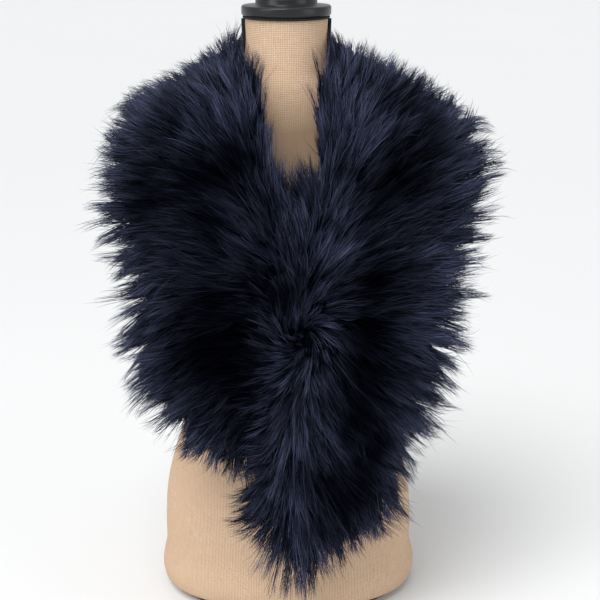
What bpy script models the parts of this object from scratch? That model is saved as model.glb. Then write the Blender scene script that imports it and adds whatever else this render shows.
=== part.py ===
"""A long-pile faux-fur collar wrap, worn on a limbless burlap dress form.

Metres, +Z up. The front of the form faces -Y and its underside rests on z = 0.
The fur is one wide strip: it starts at a hidden end on the form's right front, goes up over
that shoulder, round the nape and over the left shoulder, and comes down the front on top of
its own first end. It is built as three stretches with a narrow seam gap between them.
"""
import math
import random
from collections import namedtuple

import bmesh
import bpy
import numpy as np
from mathutils import Vector
from mathutils.bvhtree import BVHTree

# ---------------------------------------------------------------- driving sizes
NECK_TOP = 0.790          # height of the neck's top edge
CENTRE_X = 0.0140         # the tables' middle, which the finished whole is moved back from
CENTRE_Y = -0.0311
FIT_GAP = 0.0003          # between pieces that touch
SEAM_GAP = 0.0005         # along the strip's middle, between two stretches

BOARD_THICK = 0.012
BOARD_INSET = 0.004       # the board's edge lies inside the torso's
TORSO_SIDES = 40
TORSO_RINGS = 22

CAP_RADIUS = 0.0560
CAP_DISC = 0.0125         # thickness of the wide disc
CAP_STEP_RADIUS = 0.0385
CAP_STEP = 0.010
CAP_KNOB_RADIUS = 0.024
CAP_KNOB = 0.016
CAP_ROUND = 0.0035
CAP_STEPS = 36
ROUND_STEPS = 4
KNOB_STEPS = 6

PIPING_EDGE_RADIUS = 0.0015
PIPING_SIDE_RADIUS = 0.0021

CLOTH_CLEARANCE = 0.0009  # the fur's underside clears the form by this
LAYER_CLEARANCE = 0.0010  # one front clears the other by this
SIDE_SEAM_FOOT = 0.662    # the side piping ends here, at the shoulder's tip
SIDE_SEAM_Y = 0.009
CORD_TENT = 0.012         # the fur lies over the side piping as a low tent this wide
CORD_RISE = 0.0050
TUFT_WIDTH = 0.019        # along the strip's outer edge, from 0.65 to 1.35 times this
OUTER_NOTCH = 0.046       # how deep the edge is cut between two tufts, at most
OUTER_REACH = 0.012       # how far the longest tufts stand out past the edge
INNER_NOTCH = 0.014
INNER_THIRD = 0.30        # the inner edge's tufts reach this share of the width
OUTER_HALF = 0.50         # and the outer edge's tufts start at this share
FULL_WIDTH = 0.16         # the tufts grow shorter where the strip is narrower than this
TUFT_LEAN = 0.020         # how far the tufts' tips turn towards the strip's ends
LEAN_TURN = 0.10          # the lean turns over this far either side of the strip's middle
LEAN_ROOM = 0.4           # near a stretch's end, the lean is at most this share of the way there
LOCK_LENGTH = 0.062       # along the flow of the pile
LOCK_RELIEF = 0.0100
RIDGE_RELIEF = 0.0085
FLAT_SHARE = 0.42         # of the pile's height, where the other front lies on it
PILE_FULL = 0.042         # the pile height at which the locks have their full relief
THINNEST = 0.0015
NARROWEST = 0.02
SEAM_SPARE = 0.0022       # the seams lie this much further off the form
SETTLE_ROUNDS = 10
SEAM_COLUMN = {"ridge": 0.0, "cut": 0.014, "inner": 0.0, "phase": 0.4}
SEEDS = {"under": 11, "back": 23, "over": 37}
EVEN_SHARE = 0.6          # tufts are spaced evenly along the outer edge by this share
SLOPE_STEP = 0.004        # along the strip, where its direction is measured
NORMAL_ALONG = 0.006
NORMAL_ACROSS = 0.02
EDGE_RISE = 6             # the relief fades out at the inner edge over 1/6 of the width
EDGE_FALL = 5             # and at the outer edge over 1/5
LOCK_MIDDLE = 0.45        # where in a lock its surface has the pile's own height
OVERLAP_DROP = 0.18       # below this drop from the neck's top the fronts overlap
FLAT_LEAD = 0.035         # the pile is flattened from this far outside the top front's edge
FLAT_FADE = 0.050         # and to the full over this width
PROBE = 0.005             # how far round a point the layer beneath it is felt for
FRONT_Y = -0.05           # only what lies in front of this can lie on the other front
FAR_FRONT = -0.6
EDGE_SAMPLES = 61

# The torso's sections, from the underside up. Each is a superellipse.
Section = namedtuple("Section", "height half_width half_depth middle_y square")
TORSO_SECTIONS = tuple(Section(*row) for row in (
    (0.0000, 0.1640, 0.1070, 0.006, 2.3),
    (0.0060, 0.1700, 0.1120, 0.006, 2.3),
    (0.0700, 0.1730, 0.1140, 0.006, 2.3),
    (0.1500, 0.1690, 0.1120, 0.006, 2.3),
    (0.2500, 0.1430, 0.1000, 0.003, 2.2),
    (0.3450, 0.1210, 0.0880, 0.000, 2.1),
    (0.4300, 0.1340, 0.1040, -0.008, 2.1),
    (0.5050, 0.1480, 0.1190, -0.012, 2.2),
    (0.5600, 0.1550, 0.1120, -0.006, 2.3),
    (0.6100, 0.1680, 0.0980, 0.002, 2.6),
    (0.6450, 0.1830, 0.0850, 0.008, 2.7),
    (0.6600, 0.1800, 0.0770, 0.009, 2.6),
    (0.6740, 0.1520, 0.0700, 0.010, 2.4),
    (0.6900, 0.1130, 0.0640, 0.010, 2.2),
    (0.7050, 0.0800, 0.0590, 0.009, 2.1),
    (0.7200, 0.0610, 0.0545, 0.008, 2.0),
    (0.7420, 0.0530, 0.0525, 0.008, 2.0),
    (0.7900, 0.0512, 0.0512, 0.008, 2.0),
))

# The strip, from its hidden end to its point. "inner" is the edge at the neck, "outer" the
# edge of the pile's tips, "drop" is measured down from the neck's top edge. "arch" lifts the
# backing off the straight line between the edges, and "pile" is the fur's height over it.
Station = namedtuple(
    "Station", "inner_x inner_y inner_drop outer_x outer_y outer_drop arch pile"
)
STRIP_STATIONS = tuple(Station(*row) for row in (
    (0.064, -0.130, 0.625, 0.056, -0.130, 0.629, 0.000, 0.016),
    (0.085, -0.130, 0.592, 0.010, -0.128, 0.612, 0.003, 0.020),
    (0.088, -0.132, 0.556, -0.065, -0.124, 0.584, 0.008, 0.026),
    (0.082, -0.134, 0.508, -0.130, -0.118, 0.554, 0.010, 0.034),
    (0.068, -0.136, 0.446, -0.176, -0.111, 0.509, 0.012, 0.040),
    (0.052, -0.137, 0.380, -0.215, -0.101, 0.457, 0.014, 0.042),
    (0.034, -0.132, 0.315, -0.210, -0.087, 0.398, 0.016, 0.042),
    (0.014, -0.121, 0.252, -0.218, -0.071, 0.338, 0.020, 0.040),
    (-0.008, -0.104, 0.190, -0.247, -0.048, 0.286, 0.020, 0.038),
    (-0.022, -0.080, 0.132, -0.256, -0.020, 0.236, 0.022, 0.034),
    (-0.040, -0.042, 0.080, -0.250, 0.006, 0.202, 0.016, 0.031),
    (-0.055, 0.010, 0.048, -0.234, 0.045, 0.186, 0.000, 0.030),
    (-0.047, 0.044, 0.038, -0.184, 0.086, 0.194, 0.010, 0.034),
    (-0.026, 0.061, 0.034, -0.104, 0.112, 0.222, 0.004, 0.040),
    (0.000, 0.066, 0.032, 0.000, 0.124, 0.236, 0.000, 0.042),
    (0.026, 0.061, 0.034, 0.110, 0.112, 0.222, 0.004, 0.040),
    (0.047, 0.044, 0.038, 0.202, 0.086, 0.190, 0.010, 0.036),
    (0.055, 0.010, 0.046, 0.262, 0.045, 0.168, -0.006, 0.034),
    (0.052, -0.034, 0.070, 0.282, 0.006, 0.184, 0.008, 0.035),
    (0.042, -0.072, 0.116, 0.286, -0.020, 0.228, 0.014, 0.038),
    (0.028, -0.106, 0.182, 0.270, -0.044, 0.274, 0.014, 0.042),
    (0.006, -0.138, 0.254, 0.246, -0.068, 0.337, 0.016, 0.042),
    (-0.018, -0.152, 0.322, 0.232, -0.087, 0.404, 0.016, 0.042),
    (-0.041, -0.159, 0.395, 0.212, -0.103, 0.470, 0.014, 0.040),
    (-0.055, -0.160, 0.468, 0.178, -0.115, 0.540, 0.012, 0.038),
    (-0.061, -0.155, 0.545, 0.150, -0.121, 0.605, 0.010, 0.035),
    (-0.055, -0.145, 0.617, 0.102, -0.126, 0.656, 0.008, 0.032),
    (-0.039, -0.134, 0.675, 0.054, -0.127, 0.698, 0.004, 0.027),
    (0.000, -0.126, 0.719, 0.008, -0.125, 0.725, 0.000, 0.018),
))
FIRST_SHOULDER = 11       # the stations of the two seams, one on each shoulder
SECOND_SHOULDER = 17

# The pile's height across the strip, as a share of the station's: a rolled crown beside the
# inner edge, then a long fall to thin tips.
PROFILE_ACROSS = (0.00, 0.05, 0.14, 0.26, 0.42, 0.60, 0.78, 0.92, 1.00)
PROFILE_HEIGHT = (0.00, 0.56, 0.90, 1.00, 0.86, 0.74, 0.60, 0.34, 0.02)
ROWS = (0.00, 0.05, 0.12, 0.20, 0.28, 0.36, 0.44, 0.52, 0.60, 0.68, 0.76, 0.84, 0.92, 1.00)
UNDER_ROWS = (0, 2, 4, 6, 8, 10, 12, 13)

# Hollows where the pile parts: place along the strip (in stations), across it, their reach
# along and across, and their depth.
Hollow = namedtuple("Hollow", "along across reach_along reach_across depth")
HOLLOWS = tuple(Hollow(*row) for row in (
    (6.0, 0.52, 0.80, 0.17, 0.016),
    (8.6, 0.36, 0.50, 0.15, 0.010),
    (12.6, 0.55, 0.70, 0.16, 0.010),
    (15.8, 0.50, 0.80, 0.18, 0.010),
    (19.0, 0.48, 0.50, 0.14, 0.009),
    (21.4, 0.44, 0.75, 0.13, 0.016),
    (23.6, 0.62, 0.60, 0.16, 0.009),
))


# ---------------------------------------------------------------- scene and materials
def clear_scene():
    for thing in list(bpy.data.objects):
        bpy.data.objects.remove(thing, do_unlink=True)


def material(name, colour, roughness, metallic=0.0):
    made = bpy.data.materials.new(name)
    made.use_nodes = True
    shader = made.node_tree.nodes["Principled BSDF"]
    shader.inputs["Base Color"].default_value = (*colour, 1.0)
    shader.inputs["Roughness"].default_value = roughness
    shader.inputs["Metallic"].default_value = metallic
    return made


def add_mesh(collection, name, points, faces, finish):
    mesh = bpy.data.meshes.new(name)
    mesh.from_pydata([tuple(map(float, point)) for point in points], [], faces)
    work = bmesh.new()
    work.from_mesh(mesh)
    bmesh.ops.recalc_face_normals(work, faces=work.faces)
    bmesh.ops.triangulate(work, faces=work.faces)
    work.to_mesh(mesh)
    work.free()
    mesh.shade_smooth()
    mesh.materials.append(finish)
    thing = bpy.data.objects.new(name, mesh)
    collection.objects.link(thing)
    return thing


# ---------------------------------------------------------------- curves through tables
class Track:
    """A smooth curve through the rows of a table, read by a place along it."""

    def __init__(self, rows, places):
        self.rows = np.array(rows, float)
        self.places = np.array(places, float)
        self.slopes = np.gradient(self.rows, self.places, axis=0)

    def at(self, place):
        place = min(max(place, self.places[0]), self.places[-1])
        i = int(np.searchsorted(self.places, place, side="right")) - 1
        i = min(max(i, 0), len(self.places) - 2)
        span = self.places[i + 1] - self.places[i]
        t = (place - self.places[i]) / span
        return (
            (2 * t**3 - 3 * t**2 + 1) * self.rows[i]
            + (t**3 - 2 * t**2 + t) * span * self.slopes[i]
            + (3 * t**2 - 2 * t**3) * self.rows[i + 1]
            + (t**3 - t**2) * span * self.slopes[i + 1]
        )


def unit(vector):
    return vector / max(float(np.linalg.norm(vector)), 1e-9)


# ---------------------------------------------------------------- the dress form
def torso_point(section, angle):
    """A point of a section, which is given by all its columns but the height."""
    half_width, half_depth, middle_y, square = section
    reach = 2.0 / square
    across = math.copysign(abs(math.cos(angle)) ** reach, math.cos(angle))
    along = math.copysign(abs(math.sin(angle)) ** reach, math.sin(angle))
    return np.array((half_width * across, middle_y + half_depth * along))


def torso_heights():
    """The sections' own heights, and more between them where they lie far apart."""
    heights = [section.height for section in TORSO_SECTIONS]
    longest = (heights[-1] - heights[0]) / TORSO_RINGS
    result = [heights[0]]
    for low, high in zip(heights, heights[1:]):
        parts = max(1, math.ceil((high - low) / longest))
        result += [low + (high - low) * k / parts for k in range(1, parts + 1)]
    return result


def torso_grid():
    heights = [section.height for section in TORSO_SECTIONS]
    track = Track([section[1:] for section in TORSO_SECTIONS], heights)
    foot = BOARD_THICK + FIT_GAP
    rings = []
    for height in torso_heights():
        section = track.at(height)
        ring = []
        for k in range(TORSO_SIDES):
            x, y = torso_point(section, 2 * math.pi * k / TORSO_SIDES)
            ring.append((x, y, max(height, foot)))
        rings.append(ring)
    return [ring for ring in rings if ring[0][2] > foot or ring is rings[0]]


def make_torso(collection, finish):
    rings = torso_grid()
    points = [point for ring in rings for point in ring]
    faces = []
    for r in range(len(rings) - 1):
        for k in range(TORSO_SIDES):
            following = (k + 1) % TORSO_SIDES
            low, high = r * TORSO_SIDES, (r + 1) * TORSO_SIDES
            faces.append((low + k, low + following, high + following, high + k))
    faces.append(tuple(reversed(range(TORSO_SIDES))))
    top = (len(rings) - 1) * TORSO_SIDES
    faces.append(tuple(range(top, top + TORSO_SIDES)))
    return add_mesh(collection, "form_torso", points, faces, finish)


def make_board(collection, finish):
    """The flat board under the torso: a 2D outline with half its thickness as extrude."""
    foot = TORSO_SECTIONS[0]
    half_width = foot.half_width - BOARD_INSET
    half_depth = foot.half_depth - BOARD_INSET
    outline = bpy.data.curves.new("base_board", "CURVE")
    outline.dimensions = "2D"
    outline.fill_mode = "BOTH"
    outline.extrude = BOARD_THICK / 2
    spline = outline.splines.new("POLY")
    spline.points.add(TORSO_SIDES - 1)
    for k, point in enumerate(spline.points):
        turn = 2 * math.pi * k / TORSO_SIDES
        x, y = torso_point((half_width, half_depth, foot.middle_y, foot.square), turn)
        point.co = (x, y, 0.0, 1.0)
    spline.use_cyclic_u = True
    outline.materials.append(finish)
    board = bpy.data.objects.new("base_board", outline)
    board.location.z = BOARD_THICK / 2
    collection.objects.link(board)
    return board


def quarter_turn(steps):
    return [math.pi / 2 * k / steps for k in range(steps + 1)]


def upper_round(radius, top):
    """A profile's rounded upper edge, from its top outwards and down."""
    return [
        (radius - CAP_ROUND * (1 - math.sin(turn)), top - CAP_ROUND * (1 - math.cos(turn)))
        for turn in quarter_turn(ROUND_STEPS)
    ]


def make_cap(collection, finish):
    """The turned cap: a wide disc, a narrower step and a low domed knob."""
    foot = NECK_TOP + FIT_GAP
    disc_top = foot + CAP_DISC
    step_top = disc_top + CAP_STEP
    profile = [
        (CAP_KNOB_RADIUS * math.sin(turn), step_top + CAP_KNOB * math.cos(turn))
        for turn in quarter_turn(KNOB_STEPS)
    ]
    profile += upper_round(CAP_STEP_RADIUS, step_top)
    profile.append((CAP_STEP_RADIUS, disc_top))
    profile += upper_round(CAP_RADIUS, disc_top)
    profile += [
        (radius, foot + disc_top - height)
        for radius, height in reversed(upper_round(CAP_RADIUS, disc_top))
    ]
    profile.append((0.0, foot))

    mesh = bpy.data.meshes.new("neck_cap")
    edges = [(k, k + 1) for k in range(len(profile) - 1)]
    mesh.from_pydata([(radius, 0.0, height) for radius, height in profile], edges, [])
    mesh.materials.append(finish)
    cap = bpy.data.objects.new("neck_cap", mesh)
    cap.location.y = TORSO_SECTIONS[-1].middle_y
    collection.objects.link(cap)
    screw = cap.modifiers.new("turn", "SCREW")
    screw.axis = "Z"
    screw.angle = 2 * math.pi
    screw.steps = CAP_STEPS
    screw.render_steps = CAP_STEPS
    screw.use_merge_vertices = True
    screw.merge_threshold = 0.00005
    screw.use_smooth_shade = True
    return cap


def make_piping(collection, name, route, radius, closed, finish):
    curve = bpy.data.curves.new(name, "CURVE")
    curve.dimensions = "3D"
    curve.bevel_depth = radius
    curve.bevel_resolution = 2
    curve.use_fill_caps = not closed
    spline = curve.splines.new("POLY")
    spline.points.add(len(route) - 1)
    for point, place in zip(spline.points, route):
        point.co = (*map(float, place), 1.0)
    spline.use_cyclic_u = closed
    curve.materials.append(finish)
    thing = bpy.data.objects.new(name, curve)
    collection.objects.link(thing)
    return thing


def neck_edge_route():
    """Round the neck, just under the cap."""
    neck = TORSO_SECTIONS[-1]
    radius = neck.half_width + PIPING_EDGE_RADIUS + FIT_GAP
    height = NECK_TOP - PIPING_EDGE_RADIUS
    return [
        (radius * math.cos(turn), neck.middle_y + radius * math.sin(turn), height)
        for turn in (2 * math.pi * k / TORSO_SIDES for k in range(TORSO_SIDES))
    ]


def side_seam_route(rings, side):
    """Down the neck's side and out along the shoulder, on the torso's own side points."""
    column = 0 if side > 0 else TORSO_SIDES // 2
    top = NECK_TOP - 2 * PIPING_EDGE_RADIUS - 2 * FIT_GAP
    seam = [np.array(ring[column]) for ring in reversed(rings)]
    seam = [point for point in seam if SIDE_SEAM_FOOT <= point[2] <= top]
    seam.insert(0, np.array((seam[0][0], seam[0][1], top)))
    route = []
    for k, point in enumerate(seam):
        ahead = seam[min(k + 1, len(seam) - 1)] - seam[max(k - 1, 0)]
        outward = unit(np.array((-side * ahead[2], 0.0, side * ahead[0])))
        route.append(point + outward * (PIPING_SIDE_RADIUS + 2 * FIT_GAP))
    return route


# ---------------------------------------------------------------- the fur strip
def strip_track():
    """The strip's stations, placed by the length along the strip's middle."""
    table = np.array([
        (
            station.inner_x, station.inner_y, NECK_TOP - station.inner_drop,
            station.outer_x, station.outer_y, NECK_TOP - station.outer_drop,
            station.arch, station.pile,
        )
        for station in STRIP_STATIONS
    ])
    middle = (table[:, :3] + table[:, 3:6]) / 2
    steps = np.linalg.norm(np.diff(middle, axis=0), axis=1)
    places = np.concatenate(([0.0], np.cumsum(steps)))
    return Track(table, places)


def strip_at(track, place):
    """The strip's inner edge, outer edge, arch and pile at a place along it."""
    row = track.at(place)
    return row[0:3], row[3:6], row[6], row[7]


def backing(track, across, place):
    """A point of the strip's underside."""
    inner, outer, arch, _ = strip_at(track, place)
    inner_before, outer_before, _, _ = strip_at(track, place - SLOPE_STEP)
    inner_after, outer_after, _, _ = strip_at(track, place + SLOPE_STEP)
    ahead = (inner_after + outer_after) - (inner_before + outer_before)
    outward = unit(np.cross(ahead, outer - inner))
    return inner + across * (outer - inner) + arch * 4 * across * (1 - across) * outward


def backing_normal(track, across, place):
    inward = backing(track, max(across - NORMAL_ACROSS, 0), place)
    outward = backing(track, min(across + NORMAL_ACROSS, 1), place)
    before = backing(track, across, place - NORMAL_ALONG)
    after = backing(track, across, place + NORMAL_ALONG)
    return unit(np.cross(after - before, outward - inward))


def off_the_form(torso_tree, point, spare=0.0):
    """How far to move a point out of the form, where it lies in it or too close."""
    nearest, normal, _, _ = torso_tree.find_nearest(Vector(point))
    clearance = CLOTH_CLEARANCE + spare
    if point[2] > SIDE_SEAM_FOOT - CORD_TENT:
        from_seam = abs(point[1] - SIDE_SEAM_Y)
        clearance += CORD_RISE * min(max(1.5 - from_seam / CORD_TENT, 0.0), 1.0)
    short = clearance - (Vector(point) - nearest).dot(normal)
    return np.array(normal) * short if short > 0 else np.zeros(3)


def off_the_layer(layer, point):
    """How far to move a point forward, to lie on the front that is already there."""
    foremost = point[1]
    for dx, dz in ((0, 0), (PROBE, 0), (-PROBE, 0), (0, PROBE), (0, -PROBE)):
        start = Vector((point[0] + dx, FAR_FRONT, point[2] + dz))
        hit, _, _, _ = layer.ray_cast(start, Vector((0, 1, 0)))
        if hit is not None:
            foremost = min(foremost, hit.y - LAYER_CLEARANCE)
    return np.array((0.0, foremost - point[1], 0.0))


def pile_height(track, column, across):
    """The fur's height over the backing: its roll, hollows, overlapping locks and ridges."""
    place = column["place"]
    inner, outer, _, pile = strip_at(track, place)
    height = pile * float(np.interp(across, PROFILE_ACROSS, PROFILE_HEIGHT))
    station = float(np.interp(place, track.places, range(len(track.places))))
    for hollow in HOLLOWS:
        away = ((station - hollow.along) / hollow.reach_along) ** 2
        away += ((across - hollow.across) / hollow.reach_across) ** 2
        height -= hollow.depth * math.exp(-away)
    width = float(np.linalg.norm(outer - inner))
    edge = min(1.0, EDGE_RISE * across, EDGE_FALL * (1 - across)) * pile / PILE_FULL
    lock = (across * width / LOCK_LENGTH + column["phase"]) % 1.0
    height += edge * LOCK_RELIEF * (lock - LOCK_MIDDLE)
    height += edge * RIDGE_RELIEF * column["ridge"]
    return max(height, THINNEST)


def outer_lengths(track, start, end):
    """Places along a stretch, and the outer edge's length up to each."""
    places = np.linspace(start, end, EDGE_SAMPLES)
    edge = np.array([strip_at(track, place)[1] for place in places])
    steps = np.linalg.norm(np.diff(edge, axis=0), axis=1)
    return places, np.concatenate(([0.0], np.cumsum(steps)))


def make_tufts(track, start, end, rng):
    """The stretch's columns: valleys between the tufts and, by turns, the tufts' peaks."""
    places, lengths = outer_lengths(track, start, end)
    count = max(4, round(lengths[-1] / TUFT_WIDTH))
    widths = np.array([rng.uniform(0.65, 1.35) for _ in range(count)])
    borders = np.concatenate(([0.0], np.cumsum(widths))) / widths.sum()
    columns = []
    for k in range(count):
        middle = borders[k] + (borders[k + 1] - borders[k]) * rng.uniform(0.35, 0.65)
        phase = rng.uniform(0.0, 1.0)
        cut = OUTER_NOTCH * rng.uniform(0.45, 1.0)
        reach = OUTER_REACH * rng.uniform(-1.0, 1.0)
        inner = INNER_NOTCH * rng.uniform(0.0, 1.0)
        columns.append({
            "share": borders[k], "ridge": -0.5, "cut": cut, "inner": inner, "phase": phase + 0.5,
        })
        columns.append({
            "share": middle, "ridge": 0.5, "cut": -reach, "inner": 0.0, "phase": phase,
        })
    columns.append({"share": 1.0})
    for seam in (columns[0], columns[-1]):
        seam.update(SEAM_COLUMN)
    for column in columns:
        # even along the outer edge, but never bunched at the inner one
        even = float(np.interp(column["share"] * lengths[-1], lengths, places))
        plain = start + (end - start) * column["share"]
        column["place"] = EVEN_SHARE * even + (1 - EVEN_SHARE) * plain
    return columns


def column_points(track, column, start, end):
    """A column's backing points, from the inner edge to the tuft's tip, and its normals."""
    inner, outer, _, _ = strip_at(track, column["place"])
    width = max(float(np.linalg.norm(outer - inner)), NARROWEST)
    full = min(1.0, width / FULL_WIDTH)
    inner_cut = full * column["inner"] / width
    outer_cut = full * column["cut"] / width
    middle = track.places[-1] / 2
    towards = min(max((column["place"] - middle) / LEAN_TURN, -1.0), 1.0)
    room = min(column["place"] - start, end - column["place"])
    lean = towards * min(TUFT_LEAN, LEAN_ROOM * room)
    points, normals = [], []
    for share in ROWS:
        across = share + inner_cut * max(1 - share / INNER_THIRD, 0.0)
        across -= outer_cut * max((share - OUTER_HALF) / (1 - OUTER_HALF), 0.0)
        place = column["place"] + lean * across**2
        points.append(backing(track, across, place))
        normals.append(backing_normal(track, min(across, 1.0), place))
    return points, normals


def settle_grid(grid, clear, fixed=()):
    """Moves the grid's points until neither they nor the spans between them touch."""
    columns, rows = len(grid), len(grid[0])
    spans = ((0, 1), (1, 0), (1, 1), (1, -1))
    pairs = [
        (c, r, c + dc, r + dr)
        for c in range(columns) for r in range(rows) for dc, dr in spans
        if c + dc < columns and 0 <= r + dr < rows
    ]
    for _ in range(SETTLE_ROUNDS):
        for c in range(columns):
            if c not in fixed:
                grid[c] = [point + clear(point) for point in grid[c]]
        for c, r, other, row in pairs:
            for share in (0.25, 0.5, 0.75):
                shift = clear(grid[c][r] * (1 - share) + grid[other][row] * share)
                if c not in fixed:
                    grid[c][r] = grid[c][r] + shift
                if other not in fixed:
                    grid[other][row] = grid[other][row] + shift


def seam_shifts(track, place, clear):
    """How far the points of a seam's column move to lie clear, the same on both sides of it."""
    column = {"place": place, **SEAM_COLUMN}
    points, _ = column_points(track, column, track.places[0], track.places[-1])
    before = [points[k] for k in UNDER_ROWS]
    after = [list(before)]
    settle_grid(after, clear)
    return np.array(after[0]) - np.array(before)


def stretch_rows(track, ends, seams, seed, clear, flatten):
    """A stretch's points, column by column: the pile's top, and the underside."""
    start, end = ends
    columns = make_tufts(track, start, end, random.Random(seed))
    laid = [column_points(track, column, start, end) for column in columns]
    plain = [np.array([points[k] for k in UNDER_ROWS]) for points, _ in laid]
    settled = [list(points) for points in plain]
    fixed = []
    for index, seam in zip((0, len(columns) - 1), seams):
        if seam is not None:
            fixed.append(index)
            settled[index] = list(plain[index] + seam)
    settle_grid(settled, clear, fixed)
    top_rows = []
    for column, (points, normals), before, after in zip(columns, laid, plain, settled):
        shifts = np.array(after) - before
        top = []
        for k, share in enumerate(ROWS):
            shift = np.array([np.interp(k, UNDER_ROWS, shifts[:, axis]) for axis in range(3)])
            base = points[k] + shift
            height = pile_height(track, column, share) * flatten(base)
            top.append(base + normals[k] * height)
        top_rows.append(top)
    return top_rows, settled


def make_stretch(collection, name, top_rows, under_rows, finish):
    """A closed wall between the pile's top and the underside, which has fewer rows."""
    across = len(ROWS)
    kept = UNDER_ROWS[1:-1]
    ring_size = across + len(kept)
    points, faces = [], []
    for top, under in zip(top_rows, under_rows):
        points += [under[0]] + top[1:-1] + [under[-1]]
        points += reversed(under[1:-1])
    for column in range(len(top_rows) - 1):
        here, there = column * ring_size, (column + 1) * ring_size
        for k in range(ring_size):
            following = (k + 1) % ring_size
            a, b, c, d = here + k, here + following, there + following, there + k
            if k < across - 1:
                faces += [(a, b, c), (a, c, d)]
            else:
                # the underside's faces turn the same way as those of the top above them
                faces += [(a, b, d), (b, c, d)]
    for base in (0, (len(top_rows) - 1) * ring_size):
        faces += end_faces(base, across, kept, ring_size)
    return add_mesh(collection, name, points, faces, finish)


def end_faces(base, across, kept, ring_size):
    """Closes a stretch's end with narrow faces between its top and its underside."""
    under = {k: base + across + i for i, k in enumerate(reversed(kept))}
    faces = []
    steps = [0, *kept, across - 1]
    for low, high in zip(steps, steps[1:]):
        face = [base + k for k in range(low, high + 1)]
        if high in under:
            face.append(under[high])
        if low in under:
            face.append(under[low])
        if len(face) > 2:
            faces.append(tuple(face))
    return faces


def surface_tree(thing):
    """A search tree over a mesh object's faces."""
    points = [vertex.co for vertex in thing.data.vertices]
    faces = [tuple(polygon.vertices) for polygon in thing.data.polygons]
    return BVHTree.FromPolygons(points, faces)


def over_inner_edge(track, height):
    """Where the top front's inner edge runs at a height, for the flattening under it."""
    rising = track.rows[SECOND_SHOULDER:][::-1]
    return float(np.interp(height, rising[:, 2], rising[:, 0]))


def make_wrap(collection, torso_tree, finish):
    track = strip_track()
    first_end = track.places[0]
    first_shoulder = track.places[FIRST_SHOULDER]
    second_shoulder = track.places[SECOND_SHOULDER]
    point_end = track.places[-1]
    half_gap = SEAM_GAP / 2

    def off_form(point):
        return off_the_form(torso_tree, point)

    def well_off_form(point):
        return off_the_form(torso_tree, point, SEAM_SPARE)

    def full(_point):
        return 1.0

    def under_the_other(point):
        if point[2] > NECK_TOP - OVERLAP_DROP:
            return 1.0
        edge = over_inner_edge(track, point[2])
        share = min(max((point[0] - edge + FLAT_LEAD) / FLAT_FADE, 0.0), 1.0)
        return 1.0 - (1.0 - FLAT_SHARE) * share * share * (3 - 2 * share)

    first_seam = seam_shifts(track, first_shoulder, well_off_form)
    second_seam = seam_shifts(track, second_shoulder, well_off_form)

    top, underside = stretch_rows(
        track, (first_end, first_shoulder - half_gap), (None, first_seam),
        SEEDS["under"], off_form, under_the_other,
    )
    under = make_stretch(collection, "fur_front_under", top, underside, finish)
    layer = surface_tree(under)

    top, underside = stretch_rows(
        track, (first_shoulder + half_gap, second_shoulder - half_gap),
        (first_seam, second_seam), SEEDS["back"], off_form, full,
    )
    make_stretch(collection, "fur_back_neck", top, underside, finish)

    def off_both(point):
        shift = off_the_form(torso_tree, point)
        if point[1] < FRONT_Y:
            shift = shift + off_the_layer(layer, point + shift)
        return shift

    top, underside = stretch_rows(
        track, (second_shoulder + half_gap, point_end), (second_seam, None),
        SEEDS["over"], off_both, full,
    )
    make_stretch(collection, "fur_front_over", top, underside, finish)


# ---------------------------------------------------------------- the whole
def main():
    clear_scene()
    collection = bpy.data.collections.new("fur_collar_wrap")
    bpy.context.scene.collection.children.link(collection)

    fur = material("navy_fur", (0.012, 0.014, 0.026), 0.85)
    burlap = material("burlap", (0.62, 0.48, 0.34), 0.95)
    piping = material("black_piping", (0.012, 0.012, 0.014), 0.75)
    cap = material("black_lacquer", (0.010, 0.011, 0.014), 0.25)
    board = material("board_black", (0.020, 0.019, 0.018), 0.60)

    torso = make_torso(collection, burlap)
    make_board(collection, board)
    make_cap(collection, cap)
    make_piping(
        collection, "piping_neck_edge", neck_edge_route(), PIPING_EDGE_RADIUS, True, piping
    )
    rings = torso_grid()
    for name, side in (("piping_side_left", 1), ("piping_side_right", -1)):
        route = side_seam_route(rings, side)
        make_piping(collection, name, route, PIPING_SIDE_RADIUS, False, piping)
    bpy.context.view_layer.update()
    make_wrap(collection, surface_tree(torso), fur)
    for thing in collection.objects:
        thing.location.x -= CENTRE_X
        thing.location.y -= CENTRE_Y


main()
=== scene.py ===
import math
import random
from collections import namedtuple

import bmesh
import bpy
import numpy as np
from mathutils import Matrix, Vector
from mathutils.bvhtree import BVHTree
from mathutils.kdtree import KDTree


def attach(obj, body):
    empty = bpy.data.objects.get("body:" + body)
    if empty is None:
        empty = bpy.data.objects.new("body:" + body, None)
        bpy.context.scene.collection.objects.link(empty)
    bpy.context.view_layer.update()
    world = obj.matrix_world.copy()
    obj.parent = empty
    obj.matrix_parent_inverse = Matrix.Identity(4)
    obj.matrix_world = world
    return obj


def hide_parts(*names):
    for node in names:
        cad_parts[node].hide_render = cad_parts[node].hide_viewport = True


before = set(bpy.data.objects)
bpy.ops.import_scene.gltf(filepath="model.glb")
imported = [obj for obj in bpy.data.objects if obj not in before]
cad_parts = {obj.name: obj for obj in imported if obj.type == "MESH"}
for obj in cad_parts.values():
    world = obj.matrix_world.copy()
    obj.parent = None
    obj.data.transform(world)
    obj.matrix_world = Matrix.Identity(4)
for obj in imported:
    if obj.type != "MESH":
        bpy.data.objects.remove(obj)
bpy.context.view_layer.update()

# ---------------------------------------------------------------- sizes in metres, and tables
CENTRE = np.array((0.0140, -0.0311, 0.0))   # the tables' middle; the whole is moved back from it
NECK_TOP = 0.790
FIT_GAP = 0.0003
BOARD_THICK = 0.012

TORSO_SIDES = 112
TORSO_STEP = 0.0075
FOOT_ROUND = 0.006
FOOT_STEPS = 4

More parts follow.
